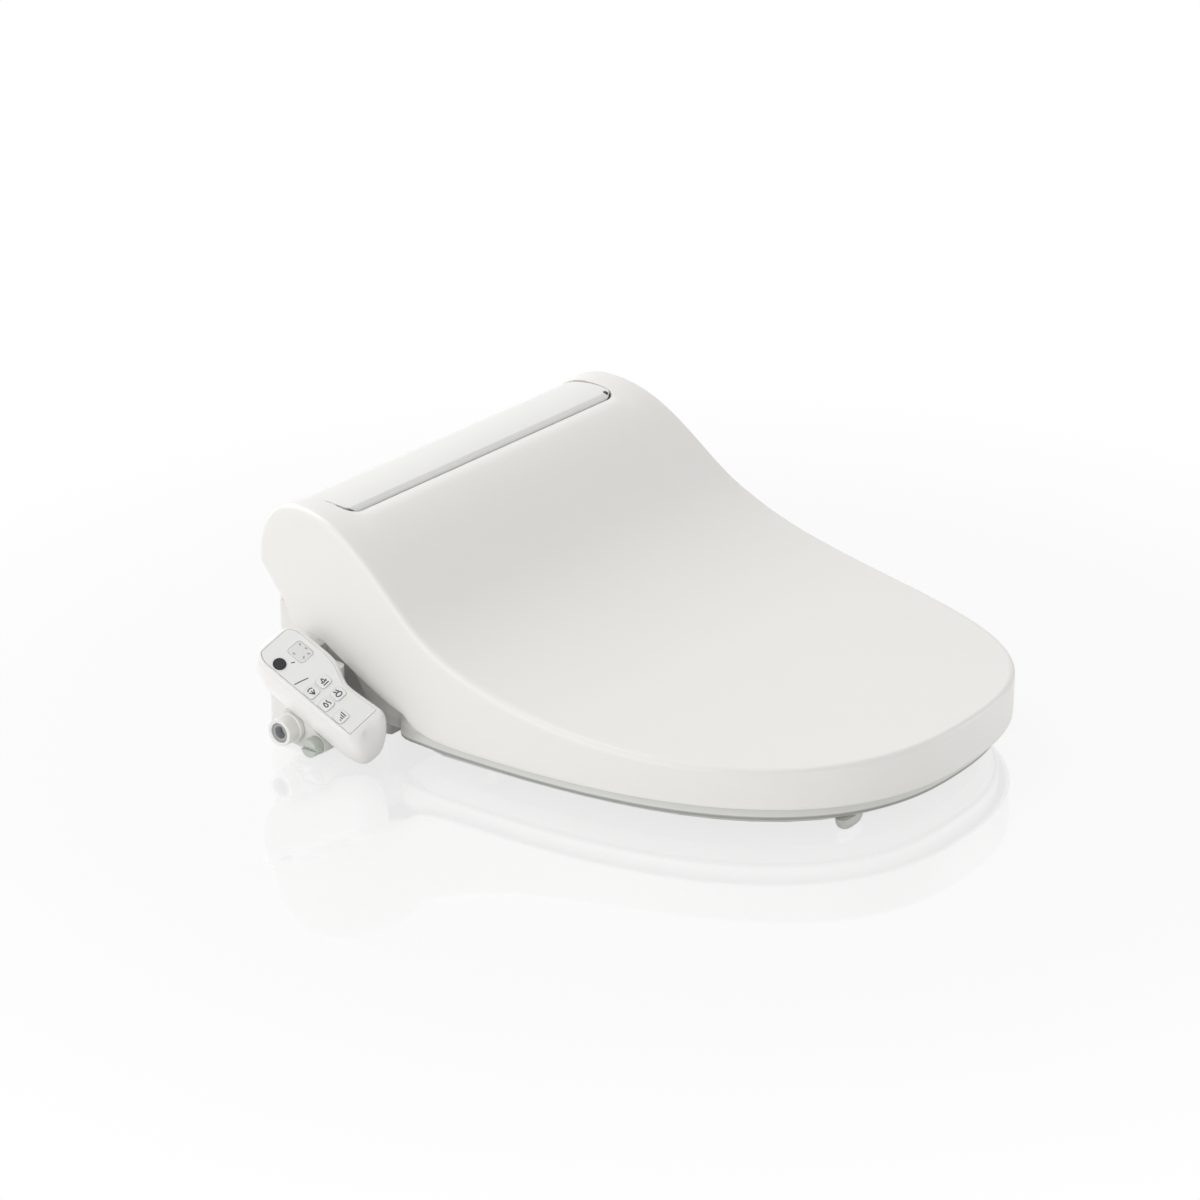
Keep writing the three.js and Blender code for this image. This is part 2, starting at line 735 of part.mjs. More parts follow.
// The pod seen from its front end, in (x, z): sharp at the face, round underneath.
function armSection(inset) {
  const w = arm.halfWidth - inset;
  const h = arm.halfHeight - inset;
  const outline = new THREE.Shape();
  outline.moveTo(-w, h - 5);
  outline.bezierCurveTo(-w, -h * 0.3, -w + 6, -h, -w + 22, -h);
  outline.lineTo(w - 18, -h);
  outline.quadraticCurveTo(w, -h, w, -h + 20);
  outline.lineTo(w, h - 5);
  outline.quadraticCurveTo(w, h, w - 5, h);
  outline.lineTo(-w + 5, h);
  outline.quadraticCurveTo(-w, h, -w, h - 5);
  return outline;
}

function armPod(inset, matrix = new THREE.Matrix4()) {
  const far = arm.halfLength + 5;
  const upright = new THREE.Matrix4().set(1, 0, 0, 0, 0, 0, -1, far, 0, 1, 0, 0, 0, 0, 0, 1);
  const plan = prismZ(armPlan(inset), -arm.halfHeight - 1, arm.halfHeight + 1, matrix, 4);
  const side = prismX(armSide(inset), -arm.halfWidth - 1, arm.halfWidth + 1, 0, matrix);
  const section = prismZ(armSection(inset), 0, 2 * far, matrix.clone().multiply(upright), 4);
  return plan.intersect(side).intersect(section);
}

const release = { y: -6, z: 20, length: 22, height: 10, depth: 9, travel: 3 };
function releaseWell() {
  const { y, z, length, height } = release;
  const x = [unit.halfWidth - release.depth - release.travel - 1, unit.halfWidth + 5];
  return box(x, [y - length / 2 - fit, y + length / 2 + fit], [z - height / 2 - fit, z + height / 2 + fit]);
}

const gland = { y: 22, z: 40, radius: 7 };
function glandHole() {
  return rod([unit.halfWidth - 10, gland.y, gland.z], [unit.halfWidth + 10, gland.y, gland.z], gland.radius);
}

const waterInner = -seat.armOuter - 10.5; // inner end of the bores for the water fittings
function inletBores() {
  const bores = [inlet, drain].map(({ y, z, pipe }) =>
    rod([-wing.out - 5, y, z], [waterInner, y, z], pipe + fit),
  );
  return join(...bores);
}

// ---------------------------------------------------------------- dome of the main unit
// Height of the lid's inner face above the hinge axis at a place forward of it.
function underCrest(y, gap) {
  const line = offset(crest(), -gap);
  const i = line.findIndex((p) => p.x <= y);
  const [a, b] = [line[i - 1], line[i]];
  return a.y + ((b.y - a.y) * (y - a.x)) / (b.x - a.x);
}

const seam = lid.cutFront - strip.gap; // hinge axis to the front edge of the trim strip
const seamReach = Math.hypot(lid.cutFront, underCrest(-lid.cutFront, lid.wall)) - 0.7;

// The trim strip's top face in (y, z) of the hinge frame: a steep front edge, then backwards.
function stripTop() {
  const line = new THREE.Path();
  const brow = seam - strip.browDepth;
  const front = Math.sqrt(seamReach ** 2 - brow ** 2);
  const back = unit.dome - 4;
  line.moveTo(-seam, front - strip.browHeight);
  line.lineTo(-brow, front);
  line.quadraticCurveTo(-8, unit.dome, 12, back);
  line.bezierCurveTo(0.61 * unit.dome, back - 3, unit.dome, 0.47 * unit.dome, unit.dome, 0);
  return line.getPoints(7);
}

// The dome's outline in (y, z) of the hinge frame, inset from its outside by a distance.
function domeSide(inset) {
  const gap = lid.wall + unit.lidClearance + inset;
  const low = unit.top + fit - hinge.z - (inset > 0 ? 5 : 0);
  const front = unit.front - hinge.y + 3 + inset;
  const slope = [];
  for (let y = front; y < -seam - 2; y += 12) slope.push(point(y, underCrest(y, gap)));
  const top = stripTop();
  const under = offset(top, strip.thickness + fit + inset);
  const outside = [...under.slice(0, stripPoints), ...top.slice(stripPoints)];
  const belly = arc(unit.dome - inset, -6, unit.domeFoot, 6);
  return [
    point(front, low),
    ...slope,
    ...(inset > 0 ? under.slice(0, -2) : outside),
    ...belly,
    point((unit.dome - inset) * Math.cos(radians(unit.domeFoot)), low),
  ];
}

const stripPoints = 12; // points of the top line that the strip covers

function upperCase() {
  const half = unit.domeHalfWidth;
  const w = unit.wall;
  const base = unit.top + fit;
  const dome = prismX(domeSide(0), -half, half, 0, atHinge);
  const hollow = prismX(domeSide(w), -half + w, half - w, 0, atHinge);
  const centre = new THREE.Matrix4().makeTranslation(0, (unit.front + unit.rear) / 2, 0);
  const plan = roundedBar(unit.halfWidth, (unit.rear - unit.front) / 2, 6);
  const flange = prismZ(plan, base, base + unit.flange, centre, 4);
  const bosses = screwPlaces.map(([x, y]) => {
    const side = Math.sign(x) * (half - 1);
    const web = box([Math.min(x, side), Math.max(x, side)], [y - 2, y + 2], [base, screwTop]);
    return join(rod([x, y, base], [x, y, screwTop], screw.postRadius, 16), web);
  });
  const pilots = screwPlaces.map(([x, y]) =>
    rod([x, y, base - 5], [x, y, screwTop + 1], screw.shank + fit, 12),
  );
  const saddles = [-1, 1].flatMap((s) =>
    [half - 10, half - 42].map((x) =>
      box([Math.min(s * x, s * (x + 3)), Math.max(s * x, s * (x + 3))], [-12, 26], [
        hinge.z - 12,
        hinge.z + 60,
      ]),
    ),
  );
  const ribs = join(...saddles).intersect(dome);
  const beds = [-1, 1].map((s) =>
    rod([s * (half - 60), hinge.y, hinge.z], [s * (half - w), hinge.y, hinge.z], damper.radius + fit),
  );
  const shaftHole = rod([-half - 5, hinge.y, hinge.z], [half + 5, hinge.y, hinge.z], hinge.shaftRadius + fit);
  const shell = cut(join(dome, flange), hollow);
  return cut(join(shell, ribs, ...bosses), ...beds, ...pilots, shaftHole);
}

function trimStrip() {
  const half = unit.domeHalfWidth;
  const top = stripTop().slice(0, stripPoints);
  const under = offset(stripTop(), strip.thickness).slice(0, stripPoints).reverse();
  const band = prismX([...top, ...under], -half, half);
  const corner = lid.cutCorner - strip.gap;
  const plan = prismZ(cutOutPlan(half, -seam, 60, corner), 0, 60, undefined, 6);
  const { holeX, holeY, holeRadius } = strip;
  return cut(band.intersect(plan), rod([holeX, holeY, 20], [holeX, holeY, 60], holeRadius, 12));
}

// ---------------------------------------------------------------- far side
function releaseButton() {
  const { y, z, length, height, depth, travel } = release;
  const x = [unit.halfWidth - depth, unit.halfWidth + travel + 0.5];
  return barAlongX(roundedBar(length / 2, height / 2, 3.5), x, y, z, 1);
}

function cordGland() {
  const { y, z, radius } = gland;
  const body = rod([unit.halfWidth - 6, y, z], [unit.halfWidth + 4, y, z], radius - fit, 20);
  return cut(body, rod([unit.halfWidth - 20, y, z], [unit.halfWidth + 20, y, z], 3.2, 16));
}

// ---------------------------------------------------------------- water side
// An outline centred on (y, z) drawn out along X with rounded ends.
function barAlongX(outline, x, y, z, round) {
  return prismX(outline, x[0], x[1], round, new THREE.Matrix4().makeTranslation(0, y, z));
}

function waterTank() {
  const { inner, outer, front, rear, bottom, top } = tank;
  const section = roundedBar((rear - front) / 2, (top - bottom) / 2, 12);
  const y = (front + rear) / 2;
  const body = barAlongX(section, [inner, outer], y, (top + bottom) / 2, 4);
  const bore = rod([inner - 5, y, 50], [inner + heater.length, y, 50], heater.radius + fit);
  return cut(body, bore);
}

function tankHeater() {
  const y = (tank.front + tank.rear) / 2;
  const x = tank.inner;
  const element = rod([x - 2, y, 50], [x + heater.length - fit, y, 50], heater.radius);
  return join(element, rod([x - 4.3, y, 50], [x - fit, y, 50], heater.radius + 5));
}

const valve = { y: [-30, -2], width: 36, top: 36, coilRadius: 11, coilTop: 62, pipe: 6 };
function inletValve() {
  const low = unit.bottom + unit.wall + fit;
  const inner = -plate.halfWidth - deckRim - 4;
  const outer = inner - valve.width;
  const x = (inner + outer) / 2;
  const y = (valve.y[0] + valve.y[1]) / 2;
  const body = box([outer, inner], valve.y, [low, valve.top]);
  const coil = rod([x, y, valve.top - 2], [x, y, valve.coilTop], valve.coilRadius);
  const pipe = rod([outer - 8, y, 22], [outer + 1, y, 22], valve.pipe);
  return join(body, coil, pipe);
}

const selector = { x: -79, y: -14, radius: 16, top: 38 };
function flowSelector() {
  const { x, y, radius, top } = selector;
  const low = floorTop + fit;
  const ports = [-1, 1].map((s) => rod([x, y, 24], [x + 24, y + s * 9, 24], 3.5, 12));
  return join(rod([x, y, low], [x, y, top], radius), ...ports);
}
function selectorMotor() {
  const { x, y, top } = selector;
  return rod([x, y, top + fit], [x, y, top + 18], motor.radius - 2);
}

const collarFace = -wing.out - fit; // the fittings' collars bear on the block
const inletEnd = -wing.out - inlet.proud;
const drainEnd = -wing.out - drain.proud;

function inletFitting() {
  const { y, z, radius } = inlet;
  const pipe = rod([waterInner - 2, y, z], [collarFace - 2, y, z], inlet.pipe);
  const collar = rod([collarFace - 4, y, z], [collarFace, y, z], radius + 1.5);
  const end = rod([inletEnd, y, z], [collarFace - 3, y, z], radius);
  const bore = rod([inletEnd - 5, y, z], [inletEnd + 9, y, z], radius - 3);
  return cut(join(pipe, collar, end), bore);
}

function inletSeal() {
  const { y, z, radius } = inlet;
  const at = (x) => [inletEnd + x, y, z];
  return cut(rod(at(1), at(8.7), radius - 3 - fit), rod(at(-5), at(20), radius - 6));
}

function drainPlug() {
  const { y, z, radius } = drain;
  const head = rod([drainEnd, y, z], [collarFace, y, z], radius);
  const slotY = [y - radius - 1, y + radius + 1];
  const slot = box([drainEnd - 1, drainEnd + 2.5], slotY, [z - 1.2, z + 1.2]);
  return cut(join(head, rod([waterInner - 3, y, z], [collarFace - 1, y, z], drain.pipe)), slot);
}

// ---------------------------------------------------------------- nozzles
const rack = { root: 6, width: 6 };
const pitchLine = rack.root + gear.addendum + 0.25;
const gearRadius = (gear.module * gear.teeth) / 2;
const pinionAt = { y: nozzle.length - nozzle.travel - 4, z: pitchLine + gearRadius };
const pressure = radians(gear.pressureAngle);

// Rack teeth in (y, z), one of them centred under the pinion.
function rackOutline() {
  const pitch = Math.PI * gear.module;
  const half = pitch / 4 - gear.backlash / 4;
  const rise = gear.addendum * Math.tan(pressure);
  const drop = (pitchLine - rack.root) * Math.tan(pressure);
  const first = -Math.floor((pinionAt.y - 5) / pitch);
  const last = Math.floor((nozzle.length - 3 - pinionAt.y) / pitch);
  const line = [];
  for (let i = first; i <= last; i++) {
    const y = pinionAt.y + i * pitch;
    line.push(point(y - half - drop, rack.root), point(y - half + rise, pitchLine + gear.addendum));
    line.push(point(y + half - rise, pitchLine + gear.addendum), point(y + half + drop, rack.root));
  }
  return [...line, point(nozzle.length - 1, rack.root), point(nozzle.length - 1, 3), point(3, 3), point(3, rack.root)];
}

function nozzleTube(sign) {
  const x = sign * nozzleX;
  const tube = rod([x, nozzle.radius, 0], [x, nozzle.length, 0], nozzle.radius, 16);
  const nose = new THREE.SphereGeometry(nozzle.radius, 16, 8).rotateX(Math.PI / 2);
  nose.translate(x, nozzle.radius, 0);
  const teeth = prismX(rackOutline(), x - rack.width / 2, x + rack.width / 2);
  const jet = rod([x, nozzle.radius + 1, 1], [x, nozzle.radius + 1, nozzle.radius + 4], 1, 8);
  return cut(join(tube, solid(nose), teeth), jet);
}

// An involute pinion in (y, z), a tooth space facing the rack.
function pinionOutline() {
  const base = gearRadius * Math.cos(pressure);
  const tip = gearRadius + gear.addendum;
  const root = gearRadius - gear.addendum - 0.25;
  const involute = (r) => {
    const a = Math.acos(Math.min(1, base / r));
    return Math.tan(a) - a;
  };
  const half = (Math.PI / 2 - gear.backlash / (2 * gear.module)) / gear.teeth;
  const flank = (r) => half + involute(gearRadius) - involute(Math.max(r, base));
  const radii = [root, base, gearRadius, tip];
  const points = [];
  for (let i = 0; i < gear.teeth; i++) {
    const middle = ((i + 0.5) / gear.teeth) * 2 * Math.PI - Math.PI / 2;
    const polar = (r, turn) => point(r * Math.cos(turn), r * Math.sin(turn));
    radii.forEach((r) => points.push(polar(r, middle - flank(r))));
    [...radii].reverse().forEach((r) => points.push(polar(r, middle + flank(r))));
  }
  return points;
}

function pinion(sign) {
  const x = sign * nozzleX;
  const teeth = prismX(pinionOutline(), x - gear.width / 2, x + gear.width / 2);
  return join(teeth, rod([x, 0, 0], [sign * (cradle.outer + fit + 7), 0, 0], motor.shaft, 12));
}

const cradle = { outer: nozzleX + nozzle.radius + 5.5, bottom: -8, lip: 2, front: 10 };
function nozzleCradle() {
  const { outer, bottom, lip, front } = cradle;
  const length = nozzle.length - 6;
  const trough = box([-outer, outer], [front, length], [bottom, lip], nozzleFrame);
  const bores = [-1, 1].map((s) => {
    const x = s * nozzleX;
    return rod([x, -5, 0], [x, length + 5, 0], nozzle.radius + fit, 20, nozzleFrame);
  });
  const { y, z } = pinionAt;
  const brackets = [-1, 1].map((s) => {
    const x = s > 0 ? [outer - 3, outer] : [-outer, -outer + 3];
    return box(x, [y - 13, y + 13], [bottom, z + 8], nozzleFrame);
  });
  const shaftHole = rod([-outer - 5, y, z], [outer + 5, y, z], motor.shaft + fit, 12, nozzleFrame);
  const leg = box([-8, 8], [6, 20], [floorTop + fit, 50]);
  const underTrough = box([-outer - 1, outer + 1], [-20, length + 20], [bottom + 1, 60], nozzleFrame);
  return cut(join(trough, ...brackets, cut(leg, underTrough)), ...bores, shaftHole);
}

function nozzleMotor(sign) {
  const { y, z } = pinionAt;
  const start = cradle.outer + fit;
  const can = rod([sign * start, y, z], [sign * (start + motor.length), y, z], motor.radius);
  const bore = rod([sign * (start - 5), y, z], [sign * (start + 8), y, z], motor.shaft + fit, 12);
  return cut(can, bore);
}

// ---------------------------------------------------------------- controls
function controlBoard() {
  const { x, y, z } = boardPlace;
  const [left, right] = x;
  const low = z[0];
  const front = y - 0.1;
  const parts = [
    box([left + 4, left + 22], [y - 12, front + 0.3], [low + 8, low + 26]),
    box([left + 36, left + 52], [y - 9, front + 0.3], [low + 10, low + 24]),
    rod([right - 22, y - 14, low + 16], [right - 22, front + 0.3, low + 16], 7, 16),
    box([left + 6, left + 30], [y - 8, front + 0.3], [low + 40, low + 54]),
    box([right - 40, right - 12], [y - 4, front + 0.3], [low + 38, low + 60]),
  ];
  return join(box(x, [y, y + board.thickness], z), ...parts);
}

const faceTop = arm.halfHeight;
const keys = [
  { name: "stop_button", at: [-12, 36], round: true },
  { name: "rear_wash_button", at: [-12.5, key.rows[0]] },
  { name: "front_wash_button", at: [0.5, key.rows[0]] },
  { name: "water_warmth_button", at: [-12.5, key.rows[1]] },
  { name: "seat_warmth_button", at: [0.5, key.rows[1]] },
  { name: "pressure_button", at: [-12.5, key.rows[2]] },
];
const lens = { at: [7, 32], halfX: 7, halfY: 8 };

function keyShape(one, grow) {
  if (one.round) return roundedBar(5 + grow, 5 + grow, 4.99 + grow);
  return roundedBar(key.width / 2 + grow, key.length / 2 + grow, 2.5 + grow);
}

function keyBlock(one, grow, z0, z1) {
  const place = new THREE.Matrix4().makeTranslation(one.at[0], one.at[1], 0);
  return prismZ(keyShape(one, grow), z0, z1, place, one.round ? 4 : 3);
}

function lensBlock(grow, z0, z1) {
  const place = new THREE.Matrix4().makeTranslation(lens.at[0], lens.at[1], 0);
  return prismZ(roundedBar(lens.halfX + grow, lens.halfY + grow, 3), z0, z1, place, 3);
}

// The face sheet's outline between its front and back ends.
function facePlate(grow, z0, z1) {
  const ends = box([-60, 60], [-face.front - grow, face.back + grow], [z0, z1]);
  return prismZ(armPlan(face.inset - grow), z0, z1, new THREE.Matrix4(), 4).intersect(ends);
}

const split = fit / 2; // half the gap between the arm's two cases
const boardTop = faceTop - key.depth + key.proud - key.travel - fit;

function armUpperCase() {
  const above = box([-60, 60], [-90, 90], [split, 60]);
  const recess = facePlate(fit, faceTop - face.thickness - fit, faceTop + 5);
  const holes = keys.map((one) => keyBlock(one, fit, 0, faceTop + 5));
  const window = lensBlock(fit, 0, faceTop + 5);
  return cut(armPod(0).intersect(above), armPod(arm.wall), recess, ...holes, window);
}

function armLowerCase() {
  const below = box([-60, 60], [-90, 90], [-60, -split]);
  const shell = cut(armPod(0).intersect(below), armPod(arm.wall));
  const low = -arm.halfHeight + 1;
  const posts = [-32, 40].map((y) => rod([-3, y, low], [-3, y, boardTop - board.thickness - fit], 3, 12));
  return join(shell, ...posts);
}

function faceSheet() {
  const holes = keys.map((one) => keyBlock(one, fit, 0, faceTop + 5));
  const window = lensBlock(fit, 0, faceTop + 5);
  return cut(facePlate(0, faceTop - face.thickness, faceTop), ...holes, window);
}

function armBoard() {
  const plan = armPlan(arm.wall + 3.5);
  const plate = prismZ(plan, boardTop - board.thickness, boardTop, new THREE.Matrix4(), 4);
  const ends = box([-60, 60], [-face.front + 3, face.back - 4], [-60, 60]);
  return plate.intersect(ends);
}

function keyCap(one) {
  return keyBlock(one, 0, faceTop + key.proud - key.depth, faceTop + key.proud);
}

// ---------------------------------------------------------------- assembly
const lidFrame = hingeFrame();
const seatFrame = hingeFrame();
const armGroup = subgroup(arm.centre, armTurn);
const nozzleGroup = subgroup(
  [0, nozzle.tipY, nozzle.tipZ],
  new THREE.Euler(radians(nozzle.slope), 0, 0),
);

add("mounting_plate", mountingPlate(), whiteSatin);
add("base_case", baseCase(), whiteSatin);
add("upper_case", upperCase(), whiteSatin);
add("rear_trim_strip", trimStrip(), whiteGloss, hingeFrame());
add("water_tank", waterTank(), whiteSatin);
add("tank_heater", tankHeater(), steel);
add("inlet_valve", inletValve(), blackPlastic);
add("flow_selector", flowSelector(), whiteSatin);
add("selector_motor", selectorMotor(), steel);
add("inlet_fitting", inletFitting(), whiteSatin);
add("inlet_seal", inletSeal(), darkRubber);
add("drain_plug", drainPlug(), whiteSatin);
add("control_board", controlBoard(), boardGreen);

[
  { side: "left", sign: 1, job: "seat" },
  { side: "right", sign: -1, job: "lid" },
].forEach(({ side, sign, job }) => {
  const inner = unit.domeHalfWidth - unit.wall;
  const spot = (x) => [sign * x, hinge.y, hinge.z];
  const can = rod(spot(inner - fit - damper.length), spot(inner - fit), damper.radius);
  add(job + "_damper", can, greyPlastic);
  add("hinge_shaft_" + side, rod(spot(inner), spot(hinge.shaftEnd), hinge.shaftRadius), steel);
});

add("nozzle_cradle", nozzleCradle(), whiteSatin);
[
  { name: "rear", sign: -1 },
  { name: "front", sign: 1 },
].forEach(({ name, sign }) => {
  add("nozzle_" + name, nozzleTube(sign), whiteGloss, nozzleGroup);
  add("nozzle_motor_" + name, nozzleMotor(sign), steel, nozzleGroup);
  add("pinion_" + name, pinion(sign), blackPlastic, nozzleGroup).position.set(0, pinionAt.y, pinionAt.z);
});

add("arm_upper_case", armUpperCase(), whiteGloss, armGroup);
add("arm_lower_case", armLowerCase(), whiteGloss, armGroup);
add("arm_face_sheet", faceSheet(), whiteSatin, armGroup);
add("arm_board", armBoard(), boardGreen, armGroup);
add("indicator_lens", lensBlock(0, boardTop + fit, faceTop + 0.1), greyPlastic, armGroup);
keys.forEach((one) => add(one.name, keyCap(one), one.round ? blackPlastic : whiteSatin, armGroup));

screwPlaces.forEach(([x, y], i) => {
  const head = rod([x, y, screwSeat - 2.5], [x, y, screwSeat - fit], screw.head, 16);
  const shank = rod([x, y, screwSeat - 1], [x, y, screwTop - 1], screw.shank, 12);
  add("case_screw_" + (i + 1), join(head, shank), steel);
});

add("release_button", releaseButton(), greyPlastic);
add("cord_gland", cordGland(), darkRubber);

add("seat_top_shell", seatTopShell(), whiteGloss, seatFrame);
add("seat_bottom_shell", ringSolid(seatBottomSection), whiteSatin, seatFrame);
add("seat_heater", ringSolid(heaterSection), foil, seatFrame);
seatBumpers.flatMap(bumperPair).forEach(({ name, at }) => {
  const plan = roundedBar(bumper.length / 2, bumper.width / 2, bumper.corner);
  const pad = prismZ(plan, -hinge.z, seat.underside - fit - hinge.z);
  add(name, pad, clearRubber, seatFrame).position.set(at.x, at.y, 0);
});

add("lid_cover", lidCover(), whiteGloss, lidFrame);
lidBumpers.flatMap(bumperPair).forEach(({ name, at }) => {
  const half = bumper.pad / 2;
  const top = underCrest(at.y, lid.wall) - 1.2;
  const pad = prismZ(roundedBar(half, half, bumper.corner), seatTop + fit - hinge.z, top);
  add(name, pad, clearRubber, lidFrame).position.set(at.x, at.y, 0);
});

export default group;
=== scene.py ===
import json

import bmesh
import bpy
import numpy as np
from mathutils import Matrix, Vector

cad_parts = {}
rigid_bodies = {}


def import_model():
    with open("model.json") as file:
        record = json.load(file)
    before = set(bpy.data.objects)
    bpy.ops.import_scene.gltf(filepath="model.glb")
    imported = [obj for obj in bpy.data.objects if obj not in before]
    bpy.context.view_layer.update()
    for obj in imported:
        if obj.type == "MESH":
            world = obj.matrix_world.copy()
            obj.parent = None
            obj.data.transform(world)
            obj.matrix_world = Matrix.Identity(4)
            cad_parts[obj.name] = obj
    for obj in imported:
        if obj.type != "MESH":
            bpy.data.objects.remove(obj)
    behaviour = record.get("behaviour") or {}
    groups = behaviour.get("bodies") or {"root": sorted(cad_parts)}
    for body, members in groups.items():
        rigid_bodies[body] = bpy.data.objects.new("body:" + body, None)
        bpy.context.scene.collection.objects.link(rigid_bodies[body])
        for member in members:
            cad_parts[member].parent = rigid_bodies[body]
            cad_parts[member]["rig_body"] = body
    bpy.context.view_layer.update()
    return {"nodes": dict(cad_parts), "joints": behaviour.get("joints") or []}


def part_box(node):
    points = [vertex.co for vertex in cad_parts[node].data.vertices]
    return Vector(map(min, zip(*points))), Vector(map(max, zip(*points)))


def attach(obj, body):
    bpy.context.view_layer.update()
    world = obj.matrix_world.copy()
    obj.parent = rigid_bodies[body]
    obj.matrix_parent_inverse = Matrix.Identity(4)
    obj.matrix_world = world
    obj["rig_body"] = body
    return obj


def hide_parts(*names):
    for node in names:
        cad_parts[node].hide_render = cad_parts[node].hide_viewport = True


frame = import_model()
scene = bpy.context.scene
print("frame loaded:", len(frame["nodes"]), "nodes")

hingeAt = Vector(next(j["pos_m"] for j in frame["joints"] if j["name"] == "seat_hinge"))
lidLow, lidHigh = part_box("lid_cover")

viewValues = {"azimuth": -53.373, "elevation": 22.602, "distance": 2.897666, "lens": 110.784, "sensor": 36.0,
              "target": (0.0, -0.215, 0.06), "left": 0.0640, "up": 0.03384, "farClip": 50.0}


def newObject(name, data):
    thing = bpy.data.objects.new(name, data)
    scene.collection.objects.link(thing)
    return thing


def placeCamera(v):
    # looks at the target from two angles and a distance, then is shifted in its own plane
    a, e = np.radians(v["azimuth"]), np.radians(v["elevation"])
    back = Vector((np.sin(a) * np.cos(e), -np.cos(a) * np.cos(e), np.sin(e)))
    right = Vector((np.cos(a), np.sin(a), 0.0))
    up = back.cross(right)
    camera = newObject("camera", bpy.data.cameras.new("camera"))
    camera.data.lens = v["lens"]
    camera.data.sensor_width = v["sensor"]
    camera.data.clip_end = v["farClip"]
    place = Vector(v["target"]) + back * v["distance"] - right * v["left"] + up * v["up"]
    turn = Matrix((right, up, back)).transposed().to_4x4()
    camera.matrix_world = Matrix.Translation(place) @ turn
    scene.camera = camera


placeCamera(viewValues)
print("camera placed")


def newGroup(name, inputs, outputs):
    # a socket's kind follows from its value: one number, a vector of three or a colour of four
    group = bpy.data.node_groups.new(name, "ShaderNodeTree")
    kinds = {1: "NodeSocketFloat", 3: "NodeSocketVector", 4: "NodeSocketColor"}
    for side, sockets in (("INPUT", inputs), ("OUTPUT", outputs)):
        for label, value in sockets.items():
            socket = group.interface.new_socket(label, in_out=side, socket_type=kinds[np.size(value)])
            socket.default_value = value
    return group, group.nodes.new("NodeGroupInput"), group.nodes.new("NodeGroupOutput")


def setSocket(tree, socket, value):
    if isinstance(value, bpy.types.NodeSocket):
        tree.links.new(value, socket)
    else:
        socket.default_value = value


def setInputs(tree, node, values):
    for label, value in values.items():
        setSocket(tree, node.inputs[label], value)
    return node


def addNode(tree, kind, values):
    return setInputs(tree, tree.nodes.new("ShaderNode" + kind), values)


def mathNode(tree, operation, first, second):
    node = tree.nodes.new("ShaderNodeMath")
    node.operation = operation
    for socket, value in zip(node.inputs, (first, second)):
        setSocket(tree, socket, value)
    return node.outputs[0]


def times(tree, first, second):
    return mathNode(tree, "MULTIPLY", first, second)


def noiseNode(tree, place, scale, detail=3.0, roughness=0.5):
    values = {"Vector": place, "Scale": scale, "Detail": detail, "Roughness": roughness}
    return addNode(tree, "TexNoise", values).outputs["Fac"]


def rangeNode(tree, value, start, end):
    # nought at the start, one at the end
    return addNode(tree, "MapRange", {"Value": value, "From Min": start, "From Max": end})


def groupNode(tree, group, values):
    node = tree.nodes.new("ShaderNodeGroup")
    node.node_tree = group
    return setInputs(tree, node, values)


textureValues = {"finer": 9.0, "broadShare": 0.7, "fineShare": 0.3, "waveScale": 60.0, "wipeScale": 14.0,
                 "reliefDepth": 0.0004, "coatRough": 0.08, "glowDepth": 0.002}


def makeMottleGroup(v):
    # a base colour that drifts a little lighter and darker over a hand's width, plus a finer drift
    group, entry, leave = newGroup(
        "softMottle", {"Vector": (0, 0, 0), "Colour": (0.8, 0.8, 0.8, 1), "Amount": 0.03, "Scale": 9.0},
        {"Colour": (0.0, 0.0, 0, 1)})
    place, scale = entry.outputs["Vector"], entry.outputs["Scale"]
    broad = noiseNode(group, place, scale, 2.0)
    fine = noiseNode(group, place, times(group, scale, v["finer"]), 3.0)
    both = mathNode(group, "ADD", times(group, broad, v["broadShare"]), times(group, fine, v["fineShare"]))
    drift = times(group, mathNode(group, "SUBTRACT", both, 0.5), entry.outputs["Amount"])
    bright = group.nodes.new("ShaderNodeVectorMath")
    bright.operation = "SCALE"
    group.links.new(entry.outputs["Colour"], bright.inputs[0])
    group.links.new(mathNode(group, "ADD", drift, 1.0), bright.inputs["Scale"])
    group.links.new(bright.outputs["Vector"], leave.inputs["Colour"])
    return group


def makeGrainGroup(v):
    # moulded surface: fine bumps plus a slow waviness, and a roughness that follows wiping and handling
    group, entry, leave = newGroup(
        "mouldedGrain", {"Vector": (0, 0, 0), "Grain Scale": 900.0, "Wave Share": 0.3, "Rough": 0.3,
                         "Rough Spread": 0.06}, {"Height": 0.0, "Roughness": 0.0})
    place = entry.outputs["Vector"]
    grain = noiseNode(group, place, entry.outputs["Grain Scale"], 2.0)
    wave = noiseNode(group, place, v["waveScale"], 1.0)
    wiped = noiseNode(group, place, v["wipeScale"], 4.0, 0.6)
    slow = times(group, wave, entry.outputs["Wave Share"])
    group.links.new(mathNode(group, "ADD", grain, slow), leave.inputs["Height"])
    swing = mathNode(group, "SUBTRACT", wiped, 0.5)
    swing = times(group, swing, entry.outputs["Rough Spread"])
    group.links.new(mathNode(group, "ADD", entry.outputs["Rough"], swing), leave.inputs["Roughness"])
    return group


mottleGroup = makeMottleGroup(textureValues)
grainGroup = makeGrainGroup(textureValues)


def addTone(tree, place, colour, tone, height, blend):
    # a second colour that takes over below its height, with a short blend; here it paints shade by height
    apart = addNode(tree, "SeparateXYZ", {"Vector": place})
    under = rangeNode(tree, apart.outputs["Z"], height + blend, height)
    mixed = tree.nodes.new("ShaderNodeMix")
    mixed.data_type = "RGBA"
    setInputs(tree, mixed, {"Factor": under.outputs["Result"], "A": colour, "B": (*tone, 1.0)})
    return mixed.outputs["Result"]


